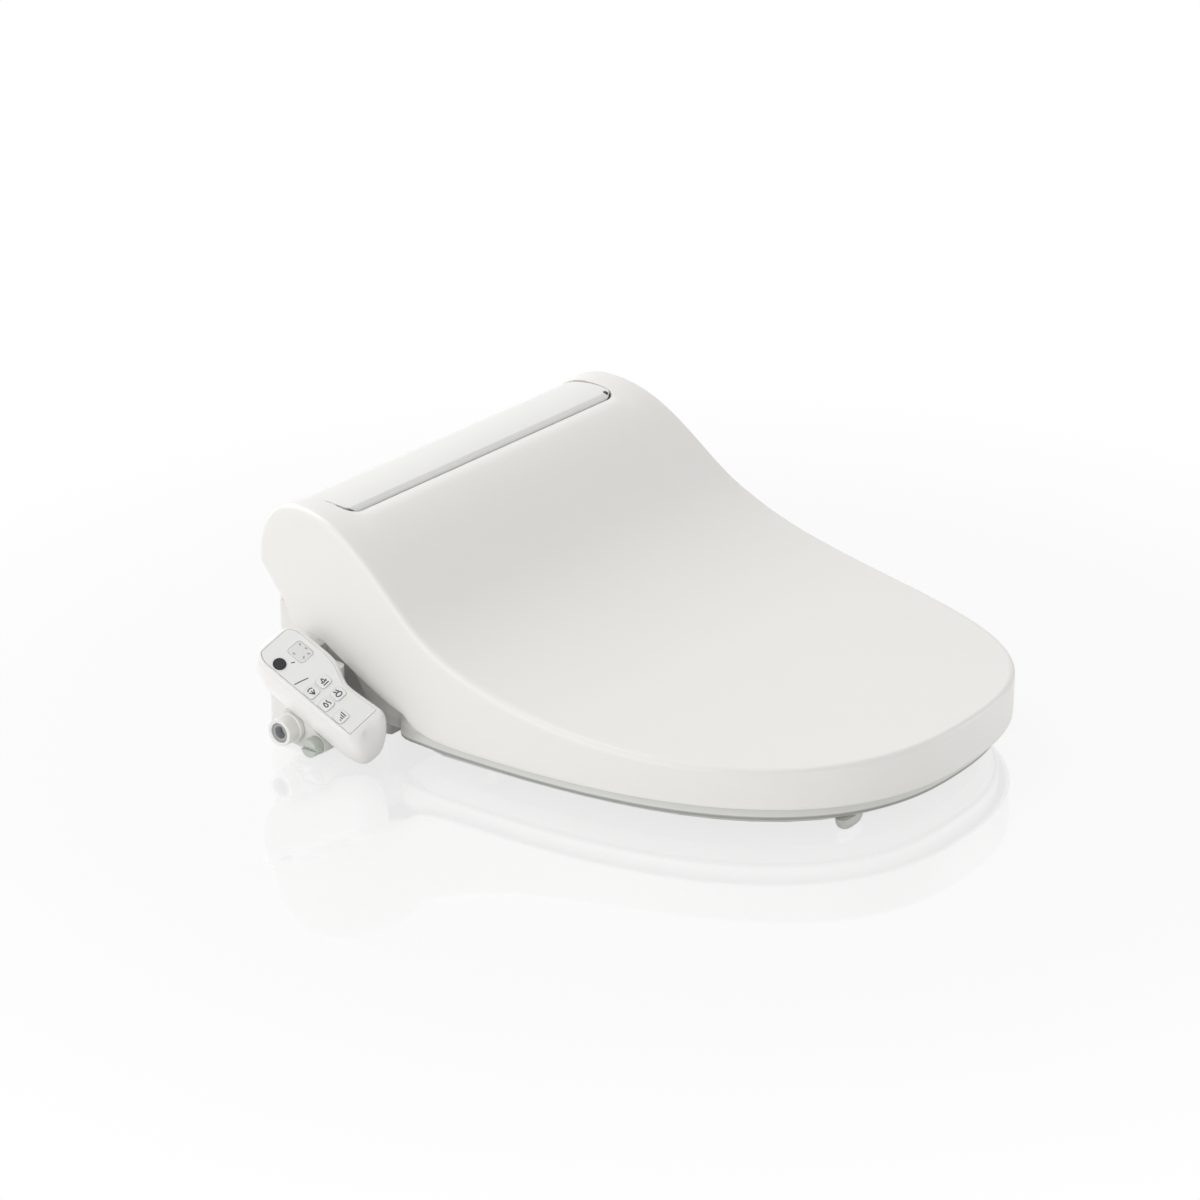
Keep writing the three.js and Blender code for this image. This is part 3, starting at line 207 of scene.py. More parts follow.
def makeMaterial(name, colour, rough, spread=0.05, mottle=0.03, mottleScale=9.0, grainScale=420.0, wave=0.3,
                 bump=0.05, metallic=0.0, coat=0.0, transmission=0.0, ior=1.5, glow=0.0, paintedShadeBands=()):
    # glow is the share of light that enters and scatters below the surface
    material = bpy.data.materials.new(name)
    material.use_nodes = True
    tree = material.node_tree
    place = tree.nodes.new("ShaderNodeTexCoord").outputs["Object"]
    tint = groupNode(tree, mottleGroup, {"Vector": place, "Colour": (*colour, 1.0), "Amount": mottle,
                                         "Scale": mottleScale})
    grain = groupNode(tree, grainGroup, {"Vector": place, "Grain Scale": grainScale, "Wave Share": wave,
                                         "Rough": rough, "Rough Spread": spread})
    relief = addNode(tree, "Bump", {"Strength": bump, "Distance": textureValues["reliefDepth"],
                                    "Height": grain.outputs["Height"]})
    shown = tint.outputs["Colour"]
    for tone, height, blend in paintedShadeBands:
        shown = addTone(tree, place, shown, tone, height, blend)
    setInputs(tree, tree.nodes["Principled BSDF"], {
        "Base Color": shown, "Roughness": grain.outputs["Roughness"], "Normal": relief.outputs["Normal"],
        "Metallic": metallic, "IOR": ior, "Coat Weight": coat, "Coat Roughness": textureValues["coatRough"],
        "Transmission Weight": transmission, "Subsurface Weight": glow,
        "Subsurface Scale": textureValues["glowDepth"]})
    return material


finishValues = {
    "lidGloss": dict(colour=(0.80, 0.79, 0.765), rough=0.34, mottle=0.025, bump=0.02, wave=0.6),
    # the ring is painted greyer below the lid's edge as painted shade, and darker still along its lower edge
    # as a painted shadow: colour, height, blend
    "seatGloss": dict(colour=(0.79, 0.78, 0.755), rough=0.34, mottle=0.025, bump=0.02,
                      paintedShadeBands=(((0.70, 0.705, 0.675), 0.0285, 0.0012), ((0.34, 0.345, 0.325), 0.0201, 0.0012))),
    "sealGrey": dict(colour=(0.77, 0.77, 0.75), rough=0.5, mottle=0.05, bump=0.04, grainScale=900.0),
    # the bottom shell is painted darker than the ring: painted shade under the seat
    "seatUnder": dict(colour=(0.62, 0.62, 0.59), rough=0.42, spread=0.06, bump=0.03, grainScale=1100.0),
    "stripGloss": dict(colour=(0.79, 0.785, 0.765), rough=0.33, spread=0.03, mottle=0.02, bump=0.012,
                       ior=1.25),
    "caseSatin": dict(colour=(0.765, 0.755, 0.73), rough=0.46, spread=0.08, mottle=0.04,
                      grainScale=1300.0),
    "podSatin": dict(colour=(0.80, 0.79, 0.77), rough=0.36, spread=0.06, mottle=0.025, bump=0.025),
    "faceSatin": dict(colour=(0.79, 0.79, 0.775), rough=0.5, mottle=0.02, bump=0.06, grainScale=1800.0),
    "greyPlastic": dict(colour=(0.33, 0.34, 0.35), rough=0.5, mottle=0.06, grainScale=1500.0),
    "blackPlastic": dict(colour=(0.013, 0.013, 0.015), rough=0.3, mottle=0.2, bump=0.03),
    "clearRubber": dict(colour=(0.76, 0.765, 0.74), rough=0.38, mottle=0.08, bump=0.04, transmission=0.3,
                        ior=1.42, glow=0.2),
    "darkRubber": dict(colour=(0.035, 0.038, 0.042), rough=0.65, mottle=0.15, bump=0.1, grainScale=1600.0),
    "boardGreen": dict(colour=(0.03, 0.15, 0.06), rough=0.4, mottle=0.3, mottleScale=60.0),
    "zincSteel": dict(colour=(0.56, 0.57, 0.58), rough=0.32, mottle=0.08, mottleScale=40.0, metallic=1.0),
    "heatFoil": dict(colour=(0.58, 0.42, 0.24), rough=0.4, mottle=0.15, mottleScale=50.0, bump=0.1,
                     metallic=0.9),
    "plugGrey": dict(colour=(0.50, 0.53, 0.49), rough=0.42, mottle=0.05, grainScale=1300.0),
    "lampLens": dict(colour=(0.72, 0.725, 0.715), rough=0.2, bump=0.02, coat=0.3),
    "lampGrey": dict(colour=(0.34, 0.34, 0.33), rough=0.3, mottle=0.2, mottleScale=300.0, bump=0.03),
    "printGrey": dict(colour=(0.09, 0.09, 0.09), rough=0.55, mottle=0.2, mottleScale=300.0),
}
finishes = {name: makeMaterial(name, **values) for name, values in finishValues.items()}
print("materials made:", len(finishes))


def gridFaces(rows, columns, start=0, closeRows=False, closeColumns=False):
    # quads between neighbours of a grid whose points are numbered row by row
    i = np.arange(rows if closeRows else rows - 1)[:, None]
    j = np.arange(columns if closeColumns else columns - 1)[None, :]
    below, beside = (i + 1) % rows, (j + 1) % columns
    corners = [i * columns + j, i * columns + beside, below * columns + beside, below * columns + j]
    return start + np.stack([np.broadcast_to(c, (i.size, j.size)) for c in corners], -1).reshape(-1, 4)


def buildPiece(name, grids, finish, body, replaced=(), smoothAngle=38.0, merge=2e-5):
    # grids of (points as rows x columns x 3, close rows, close columns), welded into one mesh
    points, faces, start = [], [], 0
    for grid, closeRows, closeColumns in grids:
        rows, columns = grid.shape[:2]
        points.append(grid.reshape(-1, 3))
        faces.append(gridFaces(rows, columns, start, closeRows, closeColumns))
        start += rows * columns
    mesh = bpy.data.meshes.new(name)
    mesh.from_pydata(np.vstack(points).tolist(), [], np.vstack(faces).tolist())
    work = bmesh.new()
    work.from_mesh(mesh)
    bmesh.ops.remove_doubles(work, verts=work.verts, dist=merge)
    bmesh.ops.dissolve_degenerate(work, edges=work.edges, dist=1e-6)
    bmesh.ops.recalc_face_normals(work, faces=work.faces)
    work.to_mesh(mesh)
    work.free()
    return finishPiece(name, mesh, finish, body, replaced, smoothAngle)


def finishPiece(name, mesh, finish, body, replaced, smoothAngle=38.0):
    mesh.shade_smooth()
    mesh.set_sharp_from_angle(angle=np.radians(smoothAngle))
    mesh.materials.clear()
    mesh.materials.append(finishes[finish])
    piece = newObject(name, mesh)
    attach(piece, body)
    if replaced:
        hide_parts(*replaced)
    return piece


def addModifier(piece, name, kind, **values):
    modifier = piece.modifiers.new(name, kind)
    for key, value in values.items():
        setattr(modifier, key, value)


def giveWall(piece, thickness, edge=0.0006):
    addModifier(piece, "wall", "SOLIDIFY", thickness=thickness, offset=-1.0, use_even_offset=True,
                use_quality_normals=True)
    softenEdges(piece, edge)


def softenEdges(piece, width, angle=50.0):
    addModifier(piece, "edges", "BEVEL", width=width, segments=2, limit_method="ANGLE",
                angle_limit=np.radians(angle))


def dressNode(node, finish, edge):
    # a welded copy of a solid with its edges softened, shown in the solid's place
    source = frame["nodes"][node]
    mesh = source.data.copy()
    work = bmesh.new()
    work.from_mesh(mesh)
    bmesh.ops.remove_doubles(work, verts=work.verts, dist=1e-6)
    bmesh.ops.dissolve_limit(work, angle_limit=np.radians(0.5), verts=work.verts, edges=work.edges)
    work.to_mesh(mesh)
    work.free()
    piece = finishPiece(node + "_dressed", mesh, finish, source["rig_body"], (node,))
    softenEdges(piece, edge, 35.0)


def ramp(steps, power=1.0):
    # shares from 0 to 1, closer together at the start where the power is over one
    return np.linspace(0.0, 1.0, steps) ** power


def superellipse(turn, power, half):
    # a circle's cosine and sine raised to a power with their signs kept, times the half sizes
    circle = np.stack([np.cos(turn), np.sin(turn)], 1)
    return np.sign(circle) * np.abs(circle) ** power * half


def bezier(controls, steps):
    # a Bezier curve of any degree, from its control points
    controls = np.array(controls, float)
    t = ramp(steps)[:, None]
    points = [np.repeat(c[None], steps, 0) for c in controls]
    while len(points) > 1:
        points = [a * (1 - t) + b * t for a, b in zip(points[:-1], points[1:])]
    return points[0]


def chain(*curves):
    # curves laid end to end, each without its last point
    return np.vstack([c[:-1] for c in curves])


def legs(start, *following):
    # Bezier curves laid end to end; each leg gives its other control points and its number of steps
    curves = []
    for *controls, steps in following:
        curves.append(bezier([start, *controls], steps))
        start = controls[-1]
    return chain(*curves)


def runLength(line):
    # distance along a line of points, from its start
    return np.concatenate([[0.0], np.cumsum(np.linalg.norm(np.diff(line, axis=0), axis=1))])


def evenly(line, count):
    # the same line with its points spaced evenly along its length
    length = runLength(line)
    at = np.linspace(0.0, length[-1], count)
    return np.stack([np.interp(at, length, line[:, k]) for k in range(line.shape[1])], 1)


def unit(vectors):
    return vectors / np.maximum(np.linalg.norm(vectors, axis=-1, keepdims=True), 1e-12)


def outwardOf(loop):
    # across the line between each point's two neighbours, for a loop that runs anticlockwise
    along = unit(np.roll(loop, -1, axis=0) - np.roll(loop, 1, axis=0))
    return np.stack([along[:, 1], -along[:, 0]], 1)


def fullTurn(steps):
    return np.linspace(0.0, 2 * np.pi, steps, endpoint=False)


def sweep(start, end, steps):
    # angles between two that are given in degrees
    return np.radians(np.linspace(start, end, steps))


# lid: a wavy top over a superellipse plan, with two ears round the hinge; y and z are from the hinge
lidValues = {"sideFullness": 2.421, "noseFullness": 2.652, "widest": 0.154, "ear": 0.0431, "wall": 0.003,
             "taper": 0.1037, "taperStart": 0.025, "frontDrop": 0.075, "cutHalf": 0.1722, "cutFront": -0.032,
             "cutCorner": 0.0135, "earEnd": -16.0, "noseSpare": 0.0005,
             "level": -0.056, "bend": (-0.088, 0.374), "slope": (-0.123, 0.581),  # y, share of the whole fall
             "valley": (0.229, 1.075), "nose": (0.265, 0.083),  # shares of the front's length and of the fall
             # radius of the rounded edge, then for rear and front: radius, start, length of the change
             "edge": 0.0058, "edgeRear": (0.0044, -0.2, 0.14), "edgeFront": (0.0042, 0.36, 0.12),
             "lipDrop": 0.0030, "lipReach": 0.013, "sideLip": 0.0016, "blendFrom": -0.06, "blendTo": -0.018,
             # lower edge at the back: y and height over the skirt's edge, then over the ear's lowest point
             "foot": ((-0.182, 0.0), (-0.150, 0.0), (-0.122, 0.0005), (-0.112, 0.0135), (-0.085, 0.0195)),
             "earBack": ((-0.026, -0.018), (-0.018, -0.015), (-0.008, -0.0145), (0.005, -0.0135),
                         (0.013, -0.013), (0.014, -0.005), (0.016, 0.005), (0.025, 0.012))}
lidReach = hingeAt.y - lidLow.y - lidValues["noseSpare"]
lidHalf = lidHigh.x
lidSkirt = hingeAt.z - lidLow.z


def crestLine(v, steps=240):
    # two Bezier curves from the top of the ears to the tip, in (y, z) of the hinge
    ridge, tip, fall = v["ear"], -v["frontDrop"], v["ear"] + v["frontDrop"]
    bendY, slopeY = v["bend"][0], v["slope"][0]
    slack = lidReach + slopeY
    middle = (slopeY, ridge - v["slope"][1] * fall)
    first = bezier([(0, ridge), (v["level"], ridge), (bendY, ridge - v["bend"][1] * fall), middle], steps)
    second = bezier([middle, (slopeY - v["valley"][0] * slack, ridge - v["valley"][1] * fall),
                     (v["nose"][0] * slack - lidReach, tip - v["nose"][1] * fall), (-lidReach, tip)], steps)
    return np.vstack([first[:-1], second])


lidCrest = crestLine(lidValues)


def crestHeight(y):
    # height of the crest at y, straight between the line's points
    return np.interp(-y, -lidCrest[:, 0], lidCrest[:, 1])


def lidHalfWidth(y, v):
    # superellipse in front of the widest place, then sides that close in slowly towards the wall
    length = lidReach - v["widest"]
    ahead = np.clip((-y - v["widest"]) / length, 0, 1)
    front = (1.0 - ahead ** v["noseFullness"]) ** (1.0 / v["sideFullness"])
    behind = np.clip(y + v["widest"], 0.0, None)
    return lidHalf * front - v["taper"] * behind ** 2 / (behind + v["taperStart"])


def smoothStep(share):
    # a share from 0 to 1 that starts and ends level
    share = np.clip(share, 0, 1)
    return share ** 2 * (3.0 - 2.0 * share)


def lidStations(v):
    # places along the right edge, from the tip to the end of the ear: plan point, plan normal, height of
    # the top face and its normal in (y, z); then where the front and where the sides end
    t = np.radians(90.0) * (1.0 - ramp(90, 1.15))
    length = lidReach - v["widest"]
    frontX = lidHalf * np.cos(t) ** (2 / v["sideFullness"])
    frontY = -v["widest"] - length * np.sin(t) ** (2 / v["noseFullness"])
    front = evenly(np.stack([frontX, frontY], 1), 110)
    stops = (-v["widest"], v["blendFrom"], v["blendTo"], 0.0)
    sideY = np.concatenate([np.linspace(a, b, n)[1:] for a, b, n in zip(stops, stops[1:], (18, 12, 6))])
    turn = sweep(90, v["earEnd"], 30)[1:]
    y = np.concatenate([front[:, 1], sideY, v["ear"] * np.cos(turn)])
    z = np.concatenate([crestHeight(front[:, 1]), crestHeight(sideY), v["ear"] * np.sin(turn)])
    x = np.concatenate([front[:, 0], lidHalfWidth(y[len(front):], v)])
    along = np.gradient(front, axis=0)
    sideways = np.tile((1.0, 0.0), (len(y) - len(front), 1))
    planNormal = np.vstack([unit(np.stack([along[:, 1], -along[:, 0]], 1)), sideways])
    planNormal[0] = (0.0, -1.0)
    slope = np.gradient(np.stack([y, z], 1), axis=0)
    top = unit(np.stack([-slope[:, 1], slope[:, 0]], 1))
    top[0] = top[1]
    return x, y, z, planNormal, top, len(front), len(front) + len(sideY)


def lowLine(v):
    # a chain of Bezier curves that share their end points, then a straight line to the end of the ear
    points = [(y, z - lidSkirt) for y, z in v["foot"]] + [(y, z - v["ear"]) for y, z in v["earBack"]]
    parts = [bezier(points[first:last], steps) for first, last, steps in
             ((0, 4, 20), (3, 6, 24), (5, 8, 8), (7, 9, 6), (8, 11, 8), (10, 13, 8))]
    end = np.radians(v["earEnd"])
    last = np.array([points[-1], [v["ear"] * np.cos(end), v["ear"] * np.sin(end)]])
    return np.vstack([chain(*parts), last])


def cornerStart(x, half, front, corner):
    # y where a column at x meets the front edge of the cut-out, whose corners are parabolas
    share = np.clip((np.abs(x) - (half - corner)) / corner, 0, 1)
    return front + corner * (1.0 - np.sqrt(1.0 - share)) ** 2


def lidGrids(v):
    # right half: top face in columns from the middle to the cut-out's line, a band from there to the edge,
    # the rounded edge and the side wall; then its mirror image
    x, y, z, normal, top, frontCount, arcStart = lidStations(v)
    n = len(x)
    edge = v["edge"]
    for along, (radius, start, length) in ((y, v["edgeRear"]), (-y, v["edgeFront"])):
        edge = edge + (radius - v["edge"]) * np.clip((along - start) / length, 0, 1)
    tail = np.clip((np.arange(n) - (n - 9)) / 8.0, 0, 1)
    edge = edge * (1.0 - 0.9 * tail)  # the last nine places run out almost sharp
    onArc = np.arange(n) >= arcStart

    def rounded(phi):
        # quarter turn from the side wall (0) to the top face (90 degrees)
        inset, drop = edge * (1 - np.cos(phi)), edge * (1 - np.sin(phi))
        px, py = x - normal[:, 0] * inset, y - normal[:, 1] * inset
        pz = np.where(onArc, z, crestHeight(np.where(onArc, 0.0, py)))
        return np.stack([px, py - top[:, 0] * drop, pz - top[:, 1] * drop], 1)

    fillet = np.stack([rounded(phi) for phi in sweep(0, 90, 7)], 1)
    rim = fillet[:, -1]
    straight, flatShare = 22, 1.0 - v["cutCorner"] / v["cutHalf"]  # columns before the rounded corner
    corner = ramp(10, 0.7)[1:]
    share = np.concatenate([np.linspace(0.0, flatShare, straight),
                            1.0 - v["cutCorner"] / v["cutHalf"] * (1.0 - corner)])
    kStart = int(np.argmin(np.abs(y - v["blendFrom"])))
    kEnd = int(np.argmin(np.abs(y - v["blendTo"]) + 10.0 * onArc))
    fraction = np.where(np.arange(n) < kStart, v["cutHalf"] / rim[kStart, 0], v["cutHalf"] / rim[:, 0])
    cutX = fraction * rim[:, 0]
    level, first = rim[:kEnd + 1, 1:2], rim[kStart, 1]
    gx = cutX[:kEnd + 1, None] * share
    start = cornerStart(v["cutHalf"] * share, v["cutHalf"], v["cutFront"], v["cutCorner"])
    blend = np.clip((level - first) / (rim[kEnd, 1] - first), 0, 1)
    gy = np.where(blend > 0, first + (start - first) * blend, level)
    # the top face rolls down towards the strip, less and less towards the corners of the cut-out
    toCorner = smoothStep((share - share[straight - 1]) / (1.0 - share[straight - 1]))
    nearCut = np.clip(1.0 - (start - gy) / v["lipReach"], 0, 1) ** 2
    lip = v["lipDrop"] * (1.0 - toCorner) * nearCut + v["sideLip"] * toCorner * smoothStep(blend)
    inner = np.stack([gx, gy, crestHeight(gy) - lip], 2)
    across = ramp(13, 1.5)[None, :, None]
    sideLip = np.full(n, v["sideLip"])
    sideLip[:kEnd + 1] *= smoothStep(blend[:, 0])
    cutLine = np.stack([cutX, rim[:, 1], rim[:, 2]], 1)
    cutLine[:kEnd + 1] = inner[:, -1]
    cutLine[:kEnd + 1, 2] += sideLip[:kEnd + 1]
    outer = cutLine[:, None] * (1 - across) + rim[:, None] * across
    below = np.column_stack([np.zeros(n), np.where(onArc[:, None], top, (0.0, 1.0))])
    outer = outer - (below * sideLip[:, None])[:, None] * (1 - across) ** 3
    # side wall: ruled from the fillet to the lower edge, its width taken from the plan
    bend = int(np.argmin(np.abs(y - v["foot"][0][0])))
    low = np.stack([x, y, np.full(n, -lidSkirt)], 1)
    topRun = runLength(np.stack([y, z], 1)[bend:])
    line = lowLine(v)
    lowRun = runLength(line)
    at = topRun / topRun[-1] * lowRun[-1]
    low[bend:, 1:] = np.stack([np.interp(at, lowRun, line[:, k]) for k in (0, 1)], 1)
    down = ramp(12)[None, :, None]
    side = fillet[:, :1] * (1 - down) + low[:, None] * down
    side[frontCount:, :, 0] = lidHalfWidth(side[frontCount:, :, 1], v)
    side[:, 0] = fillet[:, 0]
    right = [inner, outer, fillet, side]
    left = [g * np.array([-1.0, 1.0, 1.0]) for g in right]
    return [(g + np.array(hingeAt), False, False) for g in right + left]


lid = buildPiece("lid_shell", lidGrids(lidValues), "lidGloss", "lid", ("lid_cover",))
giveWall(lid, lidValues["wall"])
print("lid made")


def turnedProfile(profile, centre, steps=72):
    # a profile of (distance along X, radius) points turned round an axis along X
    angle = fullTurn(steps)[:, None]
    along, radius = np.array(profile, float).T
    along = np.broadcast_to(along, (steps, len(along)))
    return np.stack([along, radius * np.cos(angle), radius * np.sin(angle)], 2) + np.array(centre)


hubValues = {"inner": 0.1903, "outer": 0.1965, "radius": 0.017, "bore": 0.0083, "round": 0.0006}


def hubGrid(v, sign):
    # a sleeve round the hinge axis with one broken edge, turned from its section
    a, b, r, bore, c = v["inner"], v["outer"], v["radius"], v["bore"], v["round"]
    profile = [(a, bore), (a, r - c), (a + c * 0.3, r - c * 0.3), (a + c, r), (b, r), (b, bore), (a, bore)]
    return (turnedProfile([(sign * p, q) for p, q in profile], hingeAt), True, False)


buildPiece("lid_hubs", [hubGrid(hubValues, -1), hubGrid(hubValues, 1)], "lidGloss", "lid")


# rear strip: a curved band between the ears with rounded front corners; y and z are from the hinge
stripValues = {"half": 0.1704, "seam": 0.0004, "front": -0.0300, "recess": 0.0016, "corner": 0.0117,
               "thickness": 0.0025, "gap": 0.0007, "dome": 0.0427, "browDepth": 0.0018, "browHeight": 0.0052,
               "browRows": 9, "sealWall": 0.0012, "sealDepth": 0.003, "sink": 0.0007,
               "ridgeBack": (0.012, 0.004), "backFullness": (0.61, 0.47),
               "stopperAt": (0.1636, -0.0262), "stopperRadius": 0.0023,
               "stopper": ((0.0, 0.0006), (0.4, 0.0005), (0.75, 0.0003), (0.95, 0.0), (1.0, -0.0004),
                           (1.0, -0.0020), (0.0, -0.0020))}  # share of the radius, height


def stripLine(v, steps=80):
    # the band's top face from its steep front edge over the ridge to the back, in (y, z) of the hinge
    cut, dome = lidValues["cutFront"], v["dome"]
    reach = np.hypot(cut, crestHeight(cut) - v["recess"]) - v["gap"]
    brow = v["front"] + v["browDepth"]
    rise = np.sqrt(reach ** 2 - brow ** 2)
    ridge, back = v["ridgeBack"][0], dome - v["ridgeBack"][1]
    wide, high = v["backFullness"]
    lip = (brow + 0.0012, rise + 0.0004)
    edge = bezier([(v["front"], rise - v["browHeight"]), (brow - 0.0007, rise - 0.0008), lip], 16)
    first = bezier([lip, (-0.008, dome), (ridge, back)], steps)
    second = bezier([(ridge, back), (wide * dome, back - 0.003), (dome, high * dome), (dome, 0)], steps)
    return np.vstack([edge[:-1], first[:-1], second])


def stripGrid(v):
    # columns across, rows from the front edge with its round corners to the back; the first are the brow
    line = stripLine(v)
    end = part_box("rear_trim_strip")[1].y - hingeAt.y
    cornerShare = ramp(12, 0.7)[1:]
    flat = v["half"] - v["corner"]
    half = np.concatenate([np.linspace(0.0, flat, 24), v["half"] - v["corner"] * (1 - cornerShare)])
    across = np.concatenate([-half[::-1], half[1:]])
    start = cornerStart(across, v["half"], v["front"], v["corner"])
    brow = v["browDepth"] + 0.0005
    share = ramp(40, 1.2)[1:, None]
    y = np.vstack([start + brow * ramp(v["browRows"])[:, None],
                   start + brow + (end - start - brow) * share])
    keep = line[:, 0] <= end + 1e-6
    z = np.interp(y, np.maximum.accumulate(line[keep, 0]), line[keep, 1])
    grid = np.stack([np.broadcast_to(across, y.shape), y, z], 2) + np.array(hingeAt)
    return grid[:v["browRows"]], grid[v["browRows"] - 1:]


browGrid, bandGrid = stripGrid(stripValues)
strip = buildPiece("rear_strip_band", [(bandGrid, False, False)], "stripGloss", "unit",
                   ("rear_trim_strip",))
giveWall(strip, stripValues["thickness"], 0.0007)


def seamGrids(v, band):
    # a narrow wall below the band's end edges, standing a hair outside them
    right = np.stack([band[:, -1] + np.array([v["seam"], 0.0, -v["sink"] - depth])
                      for depth in (0.0, v["sealDepth"])], 1)
    left = right * np.array([-1.0, 1.0, 1.0])
    return [(right, False, False), (left[:, ::-1], False, False)]


sealGrids = [(browGrid, False, False)] + seamGrids(stripValues, bandGrid)
seal = buildPiece("rear_strip_seal", sealGrids, "sealGrey", "unit")
giveWall(seal, stripValues["sealWall"], 0.0)


def stopperGrid(v):
    # a low round stopper: rings of growing radius that drop from the middle, then go down into the band
    line = stripLine(v)[:200]
    x, y = v["stopperAt"]
    top = np.interp(y, line[:, 0], line[:, 1])
    share, height = np.array(v["stopper"]).T
    angle = fullTurn(32)[None, :]
    radius = (share * v["stopperRadius"])[:, None]
    lean = np.gradient(line[:, 1], line[:, 0])[np.argmin(np.abs(line[:, 0] - y))]
    grid = np.stack([x + radius * np.cos(angle), y + radius * np.sin(angle),
                     top + height[:, None] + lean * radius * np.sin(angle)], 2)
    return (grid + np.array(hingeAt), False, True)


buildPiece("strip_stopper", [stopperGrid(stripValues)], "darkRubber", "unit")
print("rear strip made")


# seat: a ring whose section is carried round the opening, and two arms to the hinge
seatValues = {"inset": 0.009, "rear": -0.09, "corner": 0.024, "underside": 0.010, "thickness": 0.036,
              "chamfer": 0.008, "wall": 0.003, "openingHalf": 0.108, "openingLength": 0.278, "backBar": 0.05,
              "fullness": (2.325, 0.175), "fullnessTurn": 6.0, "armOuter": 0.1895, "armWidth": 0.0095,
              "armRound": 0.0016, "armSink": 0.0024, "hub": 0.022, "hubInner": 0.165, "hubBore": 0.0083,
              "hubWall": 0.0008, "steps": 300}


def seatEdge(v):
    # outer edge of the ring: the lid's plan moved inwards, cut straight at the back with round corners
    x, y, _, normal = lidStations(lidValues)[:4]
    right = np.stack([x, y], 1) - normal * v["inset"]
    right = right[right[:, 1] < v["rear"] - v["corner"]]
    edge = right[-1, 0]
    bend = bezier([(edge, v["rear"] - v["corner"]), (edge, v["rear"]), (edge - v["corner"], v["rear"])], 16)
    half = np.vstack([right, bend])
    return np.vstack([half, half[::-1] * np.array([-1.0, 1.0])])


def polarReach(loop, centre, angles):
    # distance from a centre to a closed loop at each angle
    rel = evenly(np.vstack([loop, loop[:1]]), 3000)[:-1] - centre
    turn = np.mod(np.arctan2(rel[:, 1], rel[:, 0]), 2 * np.pi)
    order = np.argsort(turn)
    return np.interp(angles, turn[order], np.linalg.norm(rel, axis=1)[order], period=2 * np.pi)


def cutCorners(rings, rounds=2, share=0.25):
    # each round replaces every corner of the closed sections by two points nearer its sides
    for _ in range(rounds):
        ahead = np.roll(rings, -1, axis=1)
        pair = np.stack([rings * (1 - share) + ahead * share, rings * share + ahead * (1 - share)], 2)
        rings = pair.reshape(rings.shape[0], -1, rings.shape[2])
    return rings


def ringSection(v, width):
    # the ring's hollow section in (depth from the outer edge, height), for each width of the ring
    low, top, w = v["underside"], v["underside"] + v["thickness"], v["wall"]
    one, zero = np.ones_like(width), np.zeros_like(width)
    skin = [(zero, low + v["chamfer"]), (zero, low + v["chamfer"] + 0.003), (zero, top - 0.012),
            (0.002 * one, top - 0.0052), (0.0075 * one, top - 0.0012), (0.42 * width, top),
            (width - 0.024, top - 0.0045), (width - 0.008, top - 0.0115), (width, top - 0.022),
            (width, low + 0.003), (width, low)]
    lining = [(width - w, low), (width - w, top - 0.025), (width - 0.009, top - 0.0155),
              (width - 0.021, top - 0.009), (0.42 * width, top - w), (0.0085 * one, top - 0.004),
              (0.005 * one, top - 0.007), (w * one, top - 0.013), (w * one, low + v["chamfer"])]
    return cutCorners(np.stack([np.stack([d, h * one], 1) for d, h in skin + lining], 1))


def ringGrid(v):
    # each point lies on a ray from the middle of the opening, at the outer edge's distance less its depth;
    # the opening is an egg: a superellipse that is fuller towards the back
    centre = np.array([0.0, v["rear"] - v["backBar"] - v["openingLength"] / 2])
    angles = (np.arange(v["steps"]) + 0.5) / v["steps"] * 2 * np.pi
    far = polarReach(seatEdge(v), centre, angles)
    dense = fullTurn(2000)
    power = 2 / (v["fullness"][0] + v["fullness"][1] * np.tanh(np.sin(dense) * v["fullnessTurn"]))
    egg = superellipse(dense, power[:, None], (v["openingHalf"], v["openingLength"] / 2))
    near = polarReach(egg, np.zeros(2), angles)
    rings = ringSection(v, far - near)
    radius = far[:, None] - rings[..., 0]
    c, s = np.cos(angles)[:, None], np.sin(angles)[:, None]
    grid = np.stack([centre[0] + radius * c, centre[1] + radius * s + hingeAt.y, rings[..., 1]], 2)
    return (grid, True, True)


def slabGrid(outline, x0, x1, edge):
    # a closed outline in (y, z) drawn across X, its rim rounded over by a quarter turn at both ends
    outward = outwardOf(outline)
    area = np.sum(outline[:, 0] * np.roll(outline[:, 1], -1) - np.roll(outline[:, 0], -1) * outline[:, 1])
    outward = outward if area > 0 else -outward
    phi = sweep(0, 90, 5)
    fall, reach = edge * (1 - np.sin(phi)), edge * (1 - np.cos(phi))
    x = [x0, *(x0 + reach), *(x1 - reach)[::-1], x1]
    middle = np.repeat(outline.mean(0)[None], len(outline), 0)
    loops = [middle, *(outline - outward * inset for inset in (*fall, *fall[::-1])), middle]
    rings = [np.column_stack([np.full(len(outline), at), loop]) for at, loop in zip(x, loops)]
    return (np.stack(rings, 0), False, True)


def seatArmOutline(v):
    # from the ring up to the hinge hub and back down, in (y, z) of the hinge
    low = v["underside"] + v["chamfer"] + 0.0005 - hingeAt.z
    high = v["underside"] + v["thickness"] - 0.002 - hingeAt.z
    r, rear = v["hub"], v["rear"]
    root = rear - v["armSink"]
    turn = sweep(-110, 140, 48)
    hub = np.stack([r * np.cos(turn), r * np.sin(turn)], 1)
    up = legs((root, low), ((rear + 0.022, low), (rear + 0.036, low + 0.024), 12), (tuple(hub[0]), 14))
    down = legs(tuple(hub[-1]), ((-0.048, -0.040), (rear + 0.002, high), 24), ((root, high), 3),
                ((root, low), 8))
    return np.vstack([up, hub[:-1], down])


